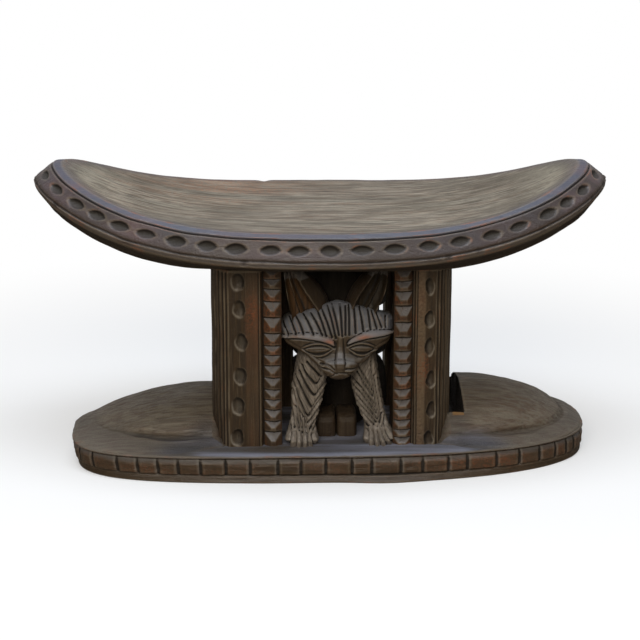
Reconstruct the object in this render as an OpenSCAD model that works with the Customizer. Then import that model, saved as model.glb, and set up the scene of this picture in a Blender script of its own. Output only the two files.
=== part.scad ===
// Carved wooden animal stool.
// A long crescent seat with a pitted edge band rests on four grooved corner posts.
// A seated cat with a flat wide face fills the front opening, its ears under the seat.
// The base is an uneven oval with a brick-cut edge and a mound at each end.
// The origin is on the floor under the middle of the seat: +X along the seat, +Y to the rear.

/* [Seat] */
// Height of the seat's raised ends above the floor
stool_h = 292; // [260:1:340]
// Length of the seat over its lip
seat_l = 560; // [480:5:640]
// Depth of the seat over its lip
seat_d = 274; // [230:2:320]
// How far the ends of the seat rise above its middle
seat_rise = 44; // [25:1:60]
// Thickness of the seat at its middle
seat_t = 45; // [40:1:60]
// Width of the sloping edge band, seen from above, at the seat's ends
band_end = 29; // [20:1:36]
// Width of the sloping edge band, seen from above, along the seat's sides
band_side = 14; // [10:1:20]
// Height of the edge band from its lip to the seat's top
band_h = 26; // [20:1:32]
// Number of pits round the edge band
pits = 42; // [30:1:50]
// Length of a pit
pit_l = 18; // [12:1:22]
// Width of a pit
pit_w = 11.5; // [7:0.5:13]
// Depth of a pit
pit_depth = 3.2; // [2:0.2:4.5]

/* [Base] */
// Length of the base
base_l = 516; // [460:4:560]
// Depth of the base
base_d = 224; // [200:2:260]
// Thickness of the base
base_h = 26; // [20:1:36]
// Height of the plain foot edge under the bricks
foot_h = 7.5; // [5:0.5:10]
// How far each end of the foot edge leans in at the floor
undercut = 5; // [0:0.5:10]
// Sideways shift of the base, posts and cat from the middle of the seat
base_shift = 9; // [0:1:16]
// Slight twist of the base, posts and cat under the seat, in degrees
base_twist = 2; // [-3:0.5:4]
// Bluntness of the base's left end, where 2 is an ellipse
blunt_left = 4.2; // [2:0.1:5]
// Bluntness of the base's right end, where 2 is an ellipse
blunt_right = 2.6; // [2:0.1:5]
// Number of bricks cut round the base's edge
bricks = 52; // [40:1:60]
// Width of a joint between two bricks
joint_w = 2.6; // [1.5:0.1:4]
// Depth of the joints and of the line above the bricks
joint_depth = 2; // [1:0.1:3]

/* [Mounds] */
// Height of the left mound above the base
mound_left_h = 34; // [20:1:45]
// Height of the right mound above the base
mound_right_h = 42; // [20:1:50]
// Half width of the left mound at its foot crease
mound_left_w = 72; // [50:1:90]
// Half width of the right mound at its foot crease
mound_right_w = 76; // [50:1:90]
// Width of the flat rim left round the mounds
mound_rim = 3; // [2:0.5:6]
// Width of the slot between the right mound and the posts
slot_w = 14; // [8:1:20]
// Length of the slot, front to rear
slot_l = 126; // [90:2:132]

/* [Posts] */
// Distance over the outer faces of the posts
post_span = 234; // [220:2:260]
// Width of the front left post
post_left_w = 69; // [60:1:74]
// Width of the front right post
post_right_w = 58; // [54:1:64]
// Width of the rear left post
post_rear_w = 82; // [70:1:84]
// Depth of a post, front to rear
post_d = 46; // [40:1:52]
// Distance of the posts' faces in from the base's long edges
post_inset = 30; // [22:1:34]
// Width of the notched rail along a post's inner edge
rail_w = 16; // [12:1:18]
// Number of notches in a rail
notches = 15; // [10:1:18]
// Depth of a notch
notch_depth = 4.5; // [3:0.5:6]
// Number of oval dimples down a post
dimples = 6; // [4:1:7]
// Length of an oval dimple
dimple_l = 19; // [14:1:22]
// Width of an oval dimple
dimple_w = 12; // [8:1:14]

/* [Cat] */
// Gap between the cat's crown and the underside of the seat
crown_gap = 26; // [18:1:30]
// Height of the face from chin to crown
face_h = 80; // [70:1:90]
// Gap between each cheek and its post
cheek_gap = 0.3; // [0.2:0.1:2]
// How far the muzzle stands in front of the posts
muzzle_out = 12; // [6:1:18]
// Distance between the middles of the front paws
paw_span = 77; // [70:1:78]
// Width of a front paw
paw_w = 29; // [24:1:30]
// Height of the hind paws
hind_h = 22; // [16:1:28]
// Width of both hind paws together
hind_w = 41; // [36:1:44]
// Half width of the cat's back
back_w = 46; // [40:0.5:46]
// Sideways shift of the cat's back from its face
back_shift = 7; // [4:0.5:8]
// Thickness of an ear
ear_t = 15; // [10:1:18]
// Spread of the ears' tips from the middle of the face
ear_spread = 43; // [38:1:44]

/* [Hidden] */
e = 0.01;
under_z = stool_h - seat_rise - seat_t;
mid_z = stool_h - seat_rise;
post_h = under_z - base_h;
open_l = -post_span / 2 + post_left_w;
open_r = post_span / 2 - post_right_w;
cat_x = (open_l + open_r) / 2;
half_open = (open_r - open_l) / 2;
back_x = cat_x + back_shift;
post_y = base_d / 2 - post_inset;
front_y = -post_y;
chin_z = under_z - crown_gap - face_h;
wood = [0.27, 0.22, 0.17];
wood_light = [0.36, 0.32, 0.27];
wood_dark = [0.20, 0.15, 0.11];

function sgn(v) = v < 0 ? -1 : 1;
function mean(list) = [for (v = list) 1] * list / len(list);
// A point on a rounded oval with half axes a and b, squarer as n grows
function oval(a, b, n, t) = [
    a * sgn(cos(t)) * pow(abs(cos(t)), 2 / n),
    b * sgn(sin(t)) * pow(abs(sin(t)), 2 / n)
];

// A solid through a stack of rings that run anticlockwise, from the lowest up
module loft(rings) {
    n = len(rings[0]);
    m = len(rings);
    points = concat([for (r = rings) each r], [mean(rings[0]), mean(rings[m - 1])]);
    sides = [for (j = [0 : m - 2], i = [0 : n - 1]) each [
        [j * n + i, (j + 1) * n + i, (j + 1) * n + (i + 1) % n],
        [j * n + i, (j + 1) * n + (i + 1) % n, j * n + (i + 1) % n]
    ]];
    low = [for (i = [0 : n - 1]) [i, (i + 1) % n, m * n]];
    high = [for (i = [0 : n - 1]) [(m - 1) * n + (i + 1) % n, (m - 1) * n + i, m * n + 1]];
    polyhedron(points, concat(sides, low, high));
}

// Seat

// Half axes, height at the middle and rise at the ends of each line round the seat
rim_a = seat_l / 2 - band_end;
rim_b = seat_d / 2 - band_side;
seat_lines = [
    [seat_l / 2 - 30, seat_d / 2 - 50, under_z, 37],
    [seat_l / 2 - 12, seat_d / 2 - 32, under_z + 4.8, 48],
    [seat_l / 2, seat_d / 2, mid_z - band_h - 4, 55],
    [seat_l / 2, seat_d / 2, mid_z - band_h, 54.5],
    [rim_a + band_end * 0.42, rim_b + band_side * 0.5, mid_z - 5.2, 47],
    [rim_a + band_end * 0.38, rim_b + band_side * 0.38, mid_z - 4.4, 47],
    [rim_a + band_end * 0.4, rim_b + band_side * 0.46, mid_z - 3.4, 47],
    [rim_a, rim_b, mid_z, seat_rise]
];
// Every rise follows the seat's own; the underside is flat over its middle
function seat_rise_at(k, x) = seat_lines[k][3] * seat_rise / 44
    * (k == 0 ? pow(max(0, abs(x) / seat_lines[0][0] - 0.44) / 0.56, 2)
    : pow(abs(x) / seat_lines[k][0], k == 1 ? 3.7 : k > 3 ? 3.3 : 3));
function seat_point(k, t) =
    let (p = oval(seat_lines[k][0], seat_lines[k][1], 2.06, t))
    [p[0], p[1], seat_lines[k][2] + seat_rise_at(k, p[0])];
seat_n = 96;
seat_step = 360 / seat_n;

module seat_body() {
    n = seat_n;
    m = len(seat_lines);
    points = [for (k = [0 : m - 1], i = [0 : n - 1]) seat_point(k, i * seat_step)];
    sides = [for (j = [0 : m - 2], i = [0 : n - 1]) each [
        [j * n + i, (j + 1) * n + i, (j + 1) * n + (i + 1) % n],
        [j * n + i, (j + 1) * n + (i + 1) % n, j * n + (i + 1) % n]
    ]];
    low = [for (i = [0 : n / 2 - 1]) each [
        if (i > 0) [i, i + 1, n - i],
        if (i < n / 2 - 1) [i + 1, n - i - 1, (n - i) % n]
    ]];
    top = (m - 1) * n;
    high = [for (i = [0 : n / 2 - 1]) each [
        if (i > 0) [top + n - i, top + i + 1, top + i],
        if (i < n / 2 - 1) [top + (n - i) % n, top + n - i - 1, top + i + 1]
    ]];
    polyhedron(points, concat(sides, low, high));
}

// Distance run along the middle of the band, for even steps between the pits
band_steps = 120;
function band_mid(t) = (seat_point(3, t) * 0.53 + seat_point(4, t) * 0.47);
band_run = [for (i = 0, s = 0; i <= band_steps;
    s = s + norm(band_mid((i + 1) * 360 / band_steps) - band_mid(i * 360 / band_steps)),
    i = i + 1) [s, i * 360 / band_steps]];

module pit(t) {
    p = band_mid(t);
    along = band_mid(t + 1) - band_mid(t - 1);
    up = seat_point(4, t) - seat_point(3, t);
    out = cross(along, up) / norm(cross(along, up));
    a = along / norm(along);
    b = cross(out, a);
    r = (pow(pit_w / 2, 2) + pow(pit_depth, 2)) / (2 * pit_depth);
    multmatrix([
        [a[0], b[0], out[0], p[0]],
        [a[1], b[1], out[1], p[1]],
        [a[2], b[2], out[2], p[2]],
        [0, 0, 0, 1]
    ])
        hull() {
            translate([0, 0, r - pit_depth]) sphere(r = r, $fn = 8);
            for (s = [-1, 1])
                translate([s * pit_l / 2, 0, 1.5]) cube([0.6, 0.6, 3], center = true);
        }
}

module seat() {
    color(wood_light)
    difference() {
        seat_body();
        for (i = [0 : pits - 1])
            pit(lookup((i + 0.5) * band_run[band_steps][0] / pits, band_run));
    }
}

// Base

module lower() {
    translate([base_shift, 0, 0]) rotate([0, 0, base_twist]) children();
}

// The base's outline in polar form, with a different bluntness at each end
function base_radius(a, b, t) =
    let (n = cos(t) < 0 ? blunt_left : blunt_right)
    1 / pow(pow(abs(cos(t)) / a, n) + pow(abs(sin(t)) / b, n), 1 / n);
function base_outline(inset, count = 120) =
    [for (i = [0 : count - 1])
        let (t = i * 360 / count, r = base_radius(base_l / 2 - inset, base_d / 2 - inset, t))
        [r * cos(t), r * sin(t)]];
edge_steps = 240;
function edge(t) = base_radius(base_l / 2, base_d / 2, t) * [cos(t), sin(t)];
edge_run = [for (i = 0, s = 0; i <= edge_steps;
    s = s + norm(edge((i + 1) * 360 / edge_steps) - edge(i * 360 / edge_steps)),
    i = i + 1) [s, i * 360 / edge_steps]];
edge_len = edge_run[edge_steps][0];
function edge_point(s, inset) =
    let (t = lookup(s, edge_run), d = edge(t + 0.5) - edge(t - 0.5), u = d / norm(d))
    edge(t) - inset * [u[1], -u[0]];

// Outline of the bricks: every joint is a V cut into the oval
function brick_outline() =
    let (w = edge_len / bricks)
    [for (k = [0 : bricks - 1]) each [
        edge_point(k * w, joint_depth),
        edge_point(k * w + joint_w / 2, 0.5),
        edge_point(k * w + w * 0.35, 0),
        edge_point(k * w + w * 0.65, 0),
        edge_point(k * w + w - joint_w / 2, 0.5)
    ]];

module base() {
    line_z = base_h - 2.6;
    color(wood)
    lower() {
        loft([
            [for (p = base_outline(1.5)) [p[0] * (1 - 2 * undercut / base_l), p[1], 0]],
            [for (p = base_outline(1.5)) [p[0], p[1], foot_h]]
        ]);
        translate([0, 0, foot_h])
            linear_extrude(line_z - foot_h) polygon(brick_outline());
        translate([0, 0, line_z])
            linear_extrude(1.2) polygon(base_outline(joint_depth + 0.5));
        translate([0, 0, line_z + 1.2])
            linear_extrude(base_h - line_z - 1.2) polygon(base_outline(1));
    }
}

// Mounds

// A half dome that runs out from the posts' outer plane over one end of the base
module mound_form(side, height, width, full) {
    far = base_l / 2 - post_span / 2;
    steps = 20;
    skirt = 0.2 * height;
    // Each level: height, reach along the base and half width
    crease_reach = far * 0.86;
    levels = [
        [skirt, crease_reach, width],
        [height * 0.34, crease_reach * pow(0.66, 1 / full), width * 0.93],
        [height * 0.5, crease_reach * pow(0.5, 1 / full), width * 0.85],
        [height * 0.66, crease_reach * pow(0.34, 1 / full), width * 0.72],
        [height * 0.8, crease_reach * pow(0.2, 1 / full), width * 0.56],
        [height * 0.92, crease_reach * pow(0.08, 1 / full), width * 0.36],
        [height * 0.99, crease_reach * pow(0.012, 1 / full), width * 0.13]
    ];
    start = side > 0 ? -90 : 90;
    function foot(t) =
        let (r = base_radius(base_l / 2 - mound_rim, base_d / 2 - mound_rim, t))
        [r * cos(t), r * sin(t)];
    // The foot ring runs from the posts' front corners out to the base's edge and round the end
    limit = [for (i = [0 : 89]) if (abs(foot(side > 0 ? i : 180 - i)[0]) >= post_span / 2) i];
    last = max(limit);
    ring0 = [for (i = [0 : steps])
        let (q = (i / steps * 2 - 1) * last, t = side > 0 ? q : 180 + q, p = foot(t),
            u = abs(p[0]) - post_span / 2, near = max(0, 1 - u / (far * 0.35)),
            v = abs(p[1]) + (post_y + 2 - abs(p[1])) * pow(near, 1.5))
        [i == 0 || i == steps ? side * post_span / 2 : p[0],
            i == 0 || i == steps ? sgn(p[1]) * (post_y + 2) : sgn(p[1]) * v, base_h]];
    rings = concat([ring0], [for (l = levels) [for (i = [0 : steps])
        let (q = start + side * 0 + i * 180 / steps, p = oval(l[1], l[2], 2.3, q))
        [side * post_span / 2 + (i == 0 || i == steps ? 0 : p[0]), p[1], base_h + l[0]]]]);
    loft(rings);
}

module left_mound() {
    color(wood_light)
    lower() mound_form(-1, mound_left_h, mound_left_w, 1.7);
}

module right_mound() {
    r = slot_w / 2;
    color(wood_light)
    lower()
    difference() {
        mound_form(1, mound_right_h, mound_right_w, 2.4);
        translate([post_span / 2, 0, base_h + 1])
            linear_extrude(mound_right_h) hull() {
                translate([-1, -slot_l / 2 + 3]) square([slot_w + 1, slot_l - r]);
                translate([0, slot_l / 2 + 3 - r]) circle(r = r, $fn = 24);
            }
    }
}

// Posts

// A pointed oval hollow with its long axis upright
module dimple() {
    r = (pow(dimple_l, 2) + pow(dimple_w, 2)) / (4 * dimple_w);
    rotate_extrude($fn = 40)
        intersection() {
            translate([dimple_w / 2 - r, 0]) circle(r = r, $fn = 90);
            translate([0, -dimple_l / 2]) square([dimple_w, dimple_l]);
        }
}

// Plan of a post: x runs from its outer edge inwards, y from its front face back
module post_plan(w) {
    difference() {
        polygon([
            [0, post_d], [0, 27], [3, 19], [6, 12], [10, 5], [16, 0],
            [w - rail_w - 5, 0], [w - rail_w - 3.6, 2], [w - rail_w - 2.2, 0],
            [w - 3, 0], [w - 2.4, 1.5], [w - 0.8, 0.6], [w, 2], [w, post_d]
        ]);
        for (p = [[4.3, 15.5], [8, 8], [13, 1.8]])
            translate(p) rotate(45) square(1.8, center = true);
        for (y = [34, 39])
            translate([0, y]) rotate(45) square(2, center = true);
    }
}

module post(w) {
    dimple_x = 16 + (w - rail_w - 21) * 0.34;
    difference() {
        translate([0, 0, base_h]) linear_extrude(post_h) post_plan(w);
        for (i = [0 : dimples - 1])
            translate([dimple_x, -dimple_w * 0.24, base_h + (i + 0.35) * post_h / dimples + 4])
                dimple();
        for (i = [0 : notches - 1])
            translate([w - rail_w - 2.2, 0, base_h + (i + 0.6) * post_h / notches])
                rotate([45, 0, 0])
                    translate([0, -notch_depth * 0.71, -notch_depth * 0.71])
                        cube([rail_w - 0.8, notch_depth * 1.42, notch_depth * 1.42]);
    }
}

module front_left_post() {
    color(wood)
    lower() translate([-post_span / 2, front_y, 0]) post(post_left_w);
}

module front_right_post() {
    color(wood)
    lower() translate([post_span / 2, front_y, 0]) mirror([1, 0, 0]) post(post_right_w);
}

module rear_left_post() {
    color(wood)
    lower() translate([-post_span / 2, -front_y, 0]) mirror([0, 1, 0]) post(post_rear_w);
}

module rear_right_post() {
    color(wood)
    lower() translate([post_span / 2, -front_y, 0]) rotate([0, 0, 180]) post(post_right_w);
}

// Cat

function flat_ring(cx, cy, z, w, d, n, count = 24) =
    [for (i = [0 : count - 1]) let (p = oval(w, d, n, i * 360 / count)) [cx + p[0], cy + p[1], z]];

// Back and belly rise from the base to the seat: share of height, share of width, and
// distance in from the posts' front and rear faces
module torso_form() {
    levels = [
        [0, 0.56, 62, 8], [0.14, 0.6, 61, 7], [0.3, 0.7, 59, 9], [0.36, 0.92, 58, 11],
        [0.44, 1, 56, 14], [0.6, 1, 51, 19], [0.76, 0.97, 46, 26], [0.9, 0.88, 45, 33],
        [1, 0.8, 46, 36]
    ];
    loft([for (l = levels)
        flat_ring(back_x, (l[2] - l[3]) / 2, base_h + l[0] * post_h, back_w * l[1],
            post_y - (l[2] + l[3]) / 2, 2.5)]);
}

// A tail laid up the back, from the base to the shoulders
module tail_form() {
    path = [[14, 10, 0.034], [4, 8, 0.137], [-2, 9, 0.297], [2, 15, 0.48], [8, 22, 0.617]];
    for (i = [0 : len(path) - 2])
        hull() for (p = [path[i], path[i + 1]])
            translate([back_x + p[0], post_y - p[1], base_h + p[2] * post_h])
                sphere(r = 5.5, $fn = 12);
}

module torso() {
    color(wood_dark)
    lower()
    union() {
        torso_form();
        intersection() {
            tail_form();
            translate([-post_span / 2, 0, base_h]) cube([post_span, 200, post_h]);
        }
    }
}

module haunch_form(side) {
    x = back_x + side * back_w * 0.66;
    reach = side > 0 ? open_r - cheek_gap - x : x - (-post_span / 2 + post_rear_w + cheek_gap);
    w = min(reach, back_w * 0.48);
    hull() {
        translate([x, front_y + 106, base_h + 36]) scale([w / 34, 1, 1]) sphere(r = 34, $fn = 16);
        translate([x, front_y + 81, base_h + 12]) scale([w * 0.8 / 13, 1, 1]) sphere(r = 13, $fn = 10);
        translate([x, front_y + 108, base_h]) cylinder(r = w * 0.8, h = 2, $fn = 12);
    }
}

module haunch(side) {
    difference() {
        haunch_form(side);
        torso_form();
        tail_form();
        translate([-base_l / 2, -base_d / 2, base_h - 60]) cube([base_l, base_d, 60]);
    }
}

module left_haunch() {
    color(wood_dark)
    lower() haunch(-1);
}

module right_haunch() {
    color(wood_dark)
    lower() haunch(1);
}

// Hind paws lie side by side under the belly, with toe grooves
module hind_paw(side) {
    w = hind_w / 2;
    difference() {
        translate([cat_x + (side > 0 ? 0 : -w), front_y + 27, base_h])
            cube([w, 40, hind_h]);
        for (k = [1 : 2])
            translate([cat_x + side * k * w / 3, front_y + 26.5, base_h - 1])
                rotate([0, 0, 45]) cube([1.6, 1.6, hind_h * 2]);
        translate([cat_x, front_y + 27, base_h + hind_h]) rotate([45, 0, 0])
            cube([hind_w * 2, 5, 5], center = true);
        torso_form();
    }
}

module left_hind_paw() {
    color(wood)
    lower() hind_paw(-1);
}

module right_hind_paw() {
    color(wood)
    lower() hind_paw(1);
}

// Face: share of face height, share of half width, set-back of the front from the muzzle, and
// of the cheeks from the posts' faces
face_levels = [
    [0, 0.08, 4, 4], [0.05, 0.2, 1, 5], [0.125, 0.31, 0, 6], [0.2, 0.4, 1, 8],
    [0.25, 0.54, 4, 10], [0.31, 0.7, 6, 14], [0.39, 0.84, 7.5, 20], [0.475, 0.94, 8.5, 27],
    [0.56, 1, 8, 32], [0.66, 1, 8, 35], [0.74, 0.92, 9.5, 36], [0.83, 0.77, 13, 36],
    [0.91, 0.56, 18, 36], [0.97, 0.32, 23, 37], [1, 0.12, 28, 38]
];
face_full = 3;
face_w = half_open - cheek_gap;
face_y = front_y - muzzle_out;
back_y = front_y + 48;

// A ring that is full at the front and flat at the back
function face_ring(l) =
    let (w = face_w * l[1], front = face_y + l[2], cheek = front_y + l[3], count = 26)
    [for (i = [0 : count - 1])
        let (p = oval(w, 1, face_full, i * 360 / count))
        [cat_x + p[0], cheek + p[1] * (p[1] < 0 ? cheek - front : back_y + 2 - cheek),
            chin_z + l[0] * face_h]];

module face_form() {
    loft([for (l = face_levels) face_ring(l)]);
}

// Height of the crown along the middle of the face, for cuts and ridges
function face_front(h) = face_y + lookup(h, [for (l = face_levels) [l[0], l[2]]]);
function face_at(u, h) =
    let (w = face_w * lookup(h, [for (l = face_levels) [l[0], l[1]]]),
        cheek = front_y + lookup(h, [for (l = face_levels) [l[0], l[3]]]),
        q = pow(max(0, 1 - pow(min(1, abs(u) / w), face_full)), 1 / face_full))
    [cat_x + u, cheek + q * (face_front(h) - cheek), chin_z + h * face_h];

// A rod of small balls that joins points on the face
module face_rod(list, r, fn = 8) {
    for (i = [0 : len(list) - 2])
        hull() for (p = [list[i], list[i + 1]])
            translate(face_at(p[0], p[1])) sphere(r = r, $fn = fn);
}

module head_form() {
    difference() {
        union() {
            face_form();
            for (s = [-1, 1]) {
                face_rod([[s * 6, 0.54], [s * 24, 0.66], [s * 47, 0.62]], 3);
                translate(face_at(s * 22, 0.44)) scale([2.1, 0.7, 1]) sphere(r = 5, $fn = 12);
            }
            hull() {
                translate(face_at(0, 0.52)) sphere(r = 3.2, $fn = 12);
                translate(face_at(0, 0.2)) sphere(r = 4.4, $fn = 12);
            }
            hull() for (s = [-1, 1])
                translate(face_at(s * 5, 0.18)) sphere(r = 3, $fn = 10);
        }
        for (s = [-1, 1]) {
            // Sockets above and below each eye
            face_rod([[s * 9, 0.47], [s * 22, 0.52], [s * 35, 0.5]], 1.7, 6);
            face_rod([[s * 10, 0.4], [s * 22, 0.355], [s * 34, 0.43]], 1.5, 6);
            // Mouth and whisker lines
            face_rod([[0, 0.105], [s * 8, 0.075], [s * 15, 0.14]], 1.1, 6);
            face_rod([[s * 7, 0.2], [s * 19, 0.24]], 1, 6);
        }
        // Hair lines fan from the crown to the brow
        for (k = [-7 : 7])
            hull() {
                translate(face_at(k * 6.2, 0.71)) sphere(r = 1.3, $fn = 5);
                translate(face_at(k * 3.8, 0.98 - abs(k) * 0.02)) sphere(r = 1, $fn = 5);
            }
    }
}

module head() {
    color(wood)
    lower()
    difference() {
        head_form();
        torso_form();
        translate([open_l - 20, front_y - 30, base_h]) cube([20, 120, post_h]);
        translate([open_r, front_y - 30, base_h]) cube([20, 120, post_h]);
    }
}

// Ears lean out from the crown to the underside of the seat
module ear_form(side) {
    low = chin_z + face_h * 0.78;
    y = front_y + 16;
    function spot(u, back, z) = [cat_x + side * u, y + back, z];
    difference() {
        hull() {
            translate(spot(ear_spread - 7, 0, under_z + 4)) cube([1, ear_t, 8], center = true);
            translate(spot(ear_spread + 8, 2, under_z + 4)) cube([1, ear_t - 4, 8], center = true);
            translate(spot(12, 0, low + 8)) cube([1, ear_t, 8], center = true);
            translate(spot(42, 2, low - 6)) cube([1, ear_t - 4, 8], center = true);
        }
        // The hollow of the ear
        hull() {
            translate(spot(27, -ear_t / 2, low + 12)) sphere(r = 7, $fn = 12);
            translate(spot(ear_spread - 1, -ear_t / 2, under_z - 9)) sphere(r = 3.5, $fn = 12);
        }
    }
}

module ear(side) {
    difference() {
        ear_form(side);
        face_form();
        translate([-post_span / 2, -base_d / 2, under_z]) cube([post_span, base_d, 40]);
    }
}

module left_ear() {
    color(wood)
    lower() ear(-1);
}

module right_ear() {
    color(wood)
    lower() ear(1);
}

// Forelegs spread from the chest down to four-toed paws, with chevron cuts
leg_top = chin_z + face_h * 0.36 - base_h;
leg_levels = [
    [0, 0, -11.5, 13, 1], [0.08, 0, -12, 12.5, 1.03], [0.17, 1.5, -9, 10.5, 0.97],
    [0.34, 5, -6, 11, 0.96], [0.52, 9.5, -3, 13, 1.04], [0.7, 13.5, 3, 17, 1.1],
    [0.86, 16.5, 9, 22, 1.12], [1, 18.5, 14, 23, 1.05]
];
leg_y = front_y + 24;
module leg_form(side) {
    difference() {
        union() {
            loft([for (l = leg_levels)
                flat_ring(cat_x + side * (paw_span / 2 - l[1]), leg_y + l[2],
                    base_h + l[0] * leg_top, paw_w / 2 * l[4], l[3], 2.3, 24)]);
            for (k = [0 : 3])
                hull() {
                    translate([cat_x + side * paw_span / 2 + (k - 1.5) * paw_w * 0.23,
                        leg_y - 20, base_h + 4])
                        sphere(r = 3.8, $fn = 8);
                    translate([cat_x + side * paw_span / 2 + (k - 1.5) * paw_w * 0.18,
                        leg_y - 12, base_h + 13])
                        sphere(r = 3, $fn = 8);
                }
        }
        for (k = [0 : 5], s = [-1, 1])
            let (h = (0.28 + k * 0.11) * leg_top, x = cat_x + side * (paw_span / 2 - 3 - k * 2.1),
                y = leg_y - 15 + k * 1.4)
            hull() {
                translate([x, y, base_h + h]) sphere(r = 1.3, $fn = 5);
                translate([x + s * paw_w * 0.5, y + 7, base_h + h + 11]) sphere(r = 1.3, $fn = 5);
            }
        translate([-base_l / 2, -base_d / 2, base_h - 40]) cube([base_l, base_d, 40]);
    }
}

module foreleg(side) {
    difference() {
        leg_form(side);
        head_form();
        torso_form();
    }
}

module left_foreleg() {
    color(wood)
    lower() foreleg(-1);
}

module right_foreleg() {
    color(wood)
    lower() foreleg(1);
}

seat();
base();
left_mound();
right_mound();
front_left_post();
front_right_post();
rear_left_post();
rear_right_post();
torso();
left_haunch();
right_haunch();
left_hind_paw();
right_hind_paw();
left_foreleg();
right_foreleg();
head();
left_ear();
right_ear();
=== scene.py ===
import functools
import math
import bmesh
import bpy
import numpy as np
from bpy.props import FloatProperty, FloatVectorProperty, PointerProperty
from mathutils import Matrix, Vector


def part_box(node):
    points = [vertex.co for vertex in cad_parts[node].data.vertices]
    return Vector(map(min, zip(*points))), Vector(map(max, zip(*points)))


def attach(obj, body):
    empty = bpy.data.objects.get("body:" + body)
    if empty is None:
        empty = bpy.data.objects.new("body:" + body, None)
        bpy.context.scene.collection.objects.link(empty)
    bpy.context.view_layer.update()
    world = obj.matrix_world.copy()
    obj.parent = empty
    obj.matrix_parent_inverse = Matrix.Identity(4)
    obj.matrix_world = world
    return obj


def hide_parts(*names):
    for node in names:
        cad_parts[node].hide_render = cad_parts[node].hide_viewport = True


bl_info = {
    "name": "Carved animal stool",
    "version": (1, 0, 0),
    "blender": (4, 5, 0),
    "location": "View3D > Sidebar > Stool",
    "description": "Carves the stool's pieces, and sets up its woods and the studio",
    "category": "Object",
}

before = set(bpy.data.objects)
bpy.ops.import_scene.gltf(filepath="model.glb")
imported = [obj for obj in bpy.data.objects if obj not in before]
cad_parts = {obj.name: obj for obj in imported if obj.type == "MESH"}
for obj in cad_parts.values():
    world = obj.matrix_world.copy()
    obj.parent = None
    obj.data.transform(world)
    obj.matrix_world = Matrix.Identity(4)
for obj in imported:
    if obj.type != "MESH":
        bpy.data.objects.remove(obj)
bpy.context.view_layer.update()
MM = 0.001


def box_mm(node):
    """Lowest and highest corners of a node, in millimetres"""
    low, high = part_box(node)
    return [v / MM for v in low], [v / MM for v in high]


SEAT_LOW, SEAT_HIGH = box_mm("seat")
DECK_Z = box_mm("base")[1][2]
# The base, posts and cat are one log that sits a little askew under the seat
SHIFT = 9.0
TWIST = math.radians(2.0)


# Sizes and colours

def length(name, text, default):
    """A size in millimetres"""
    return FloatProperty(name=name, description=text, default=default, min=0.0, max=1000.0)


def colour(name, text, default):
    """A stain or surface colour"""
    return FloatVectorProperty(name=name, description=text, default=default,
                               subtype="COLOR", size=3, min=0.0, max=1.0)


class StoolSeatSizes(bpy.types.PropertyGroup):
    """Sizes of the crescent seat, in millimetres"""
    half_l: length("Half length", "Half the length over the lip", (SEAT_HIGH[0] - SEAT_LOW[0]) / 2)
    half_d: length("Half depth", "Half the depth over the lip", (SEAT_HIGH[1] - SEAT_LOW[1]) / 2)
    top_z: length("End height", "Height of the raised ends", SEAT_HIGH[2])
    under_z: length("Underside", "Height of the underside", SEAT_LOW[2])
    rise: length("Rise", "How far the ends rise above the middle", 44.0)
    band_end: length("Band at the ends", "Width of the pitted band at the ends", 29.0)
    band_side: length("Band at the sides", "Width of the pitted band at the sides", 14.0)
    band_h: length("Band height", "Height from the lip to the top", 26.0)
    dish: length("Dish", "Hollow of the top across its middle", 3.5)
    pit_l: length("Pit length", "Length of a pit", 18.5)
    pit_w: length("Pit width", "Width of a pit", 10.0)
    pit_depth: length("Pit depth", "Depth of a pit", 3.0)


class StoolBaseSizes(bpy.types.PropertyGroup):
    """Sizes of the base and its mounds, in millimetres"""
    half_l: length("Half length", "Half the length of the base", 258.0)
    half_d: length("Half depth", "Half the depth of the base", 112.0)
    height: length("Height", "Height of the deck", DECK_Z)
    foot_h: length("Foot", "Height of the plain foot edge", 6.4)
    undercut: length("Undercut", "How far the ends lean in at the floor", 5.0)
    spread: length("Spread", "How far the foot spreads in front", 4.5)
    joint: length("Joint depth", "Depth of the cuts between bricks", 2.0)
    left_h: length("Left mound", "Height of the left mound", 34.0)
    right_h: length("Right mound", "Height of the right mound", 42.0)
    left_w: length("Left mound width", "Half width of the left mound", 72.0)
    right_w: length("Right mound width", "Half width of the right mound", 76.0)
    slot_w: length("Slot", "Width of the slot beside the right mound", 14.0)


class StoolPostSizes(bpy.types.PropertyGroup):
    """Sizes of the corner posts, in millimetres"""
    span: length("Span", "Distance over the posts' outer faces", 234.0)
    face_y: length("Face", "Distance of the posts' faces from the middle", 82.0)
    depth: length("Depth", "Depth of a post", 46.0)
    notch: length("Notch", "Depth of the notches in the rails", 4.9)
    dimple: length("Dimple", "Depth of the oval dimples", 2.8)


class StoolCatSizes(bpy.types.PropertyGroup):
    """Sizes of the carved cat, in millimetres"""
    x: length("Middle", "Middle of the face between the posts", 5.5)
    chin_z: length("Chin", "Height of the chin", 97.0)
    crown_z: length("Crown", "Height of the crown", 177.0)
    face_w: length("Half width", "Half width of the face at the cheeks", 53.2)
    hair: length("Hair", "Depth of the grooves in the hair", 2.3)
    fur: length("Fur", "Depth of the grooves in the legs", 2.8)


class StoolWoodLook(bpy.types.PropertyGroup):
    """Colours of the stained wood"""
    # Dark is the stain of the grain, and also the painted shade laid into the carving's hollows
    dark: colour("Dark", "Stain, and painted shade in the hollows", (0.0144, 0.0096, 0.006))
    body: colour("Body", "Stained hardwood", (0.0528, 0.0324, 0.0156))
    # Grey is rubbed wear on the raised edges, and also a painted highlight there
    grey: colour("Grey", "Dry, rubbed surfaces, and painted highlights on ridges", (0.24, 0.198, 0.138))
    red: colour("Red", "Bare wood where the stain has worn off", (0.252, 0.0744, 0.0264))
    # A painted sheen: the cool reflection of the overhead light, put into the colour of the seat's
    # band
    painted_sheen: colour("Painted sheen", "Painted sheen on the waxed, handled strips", (0.09, 0.096, 0.126))


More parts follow.
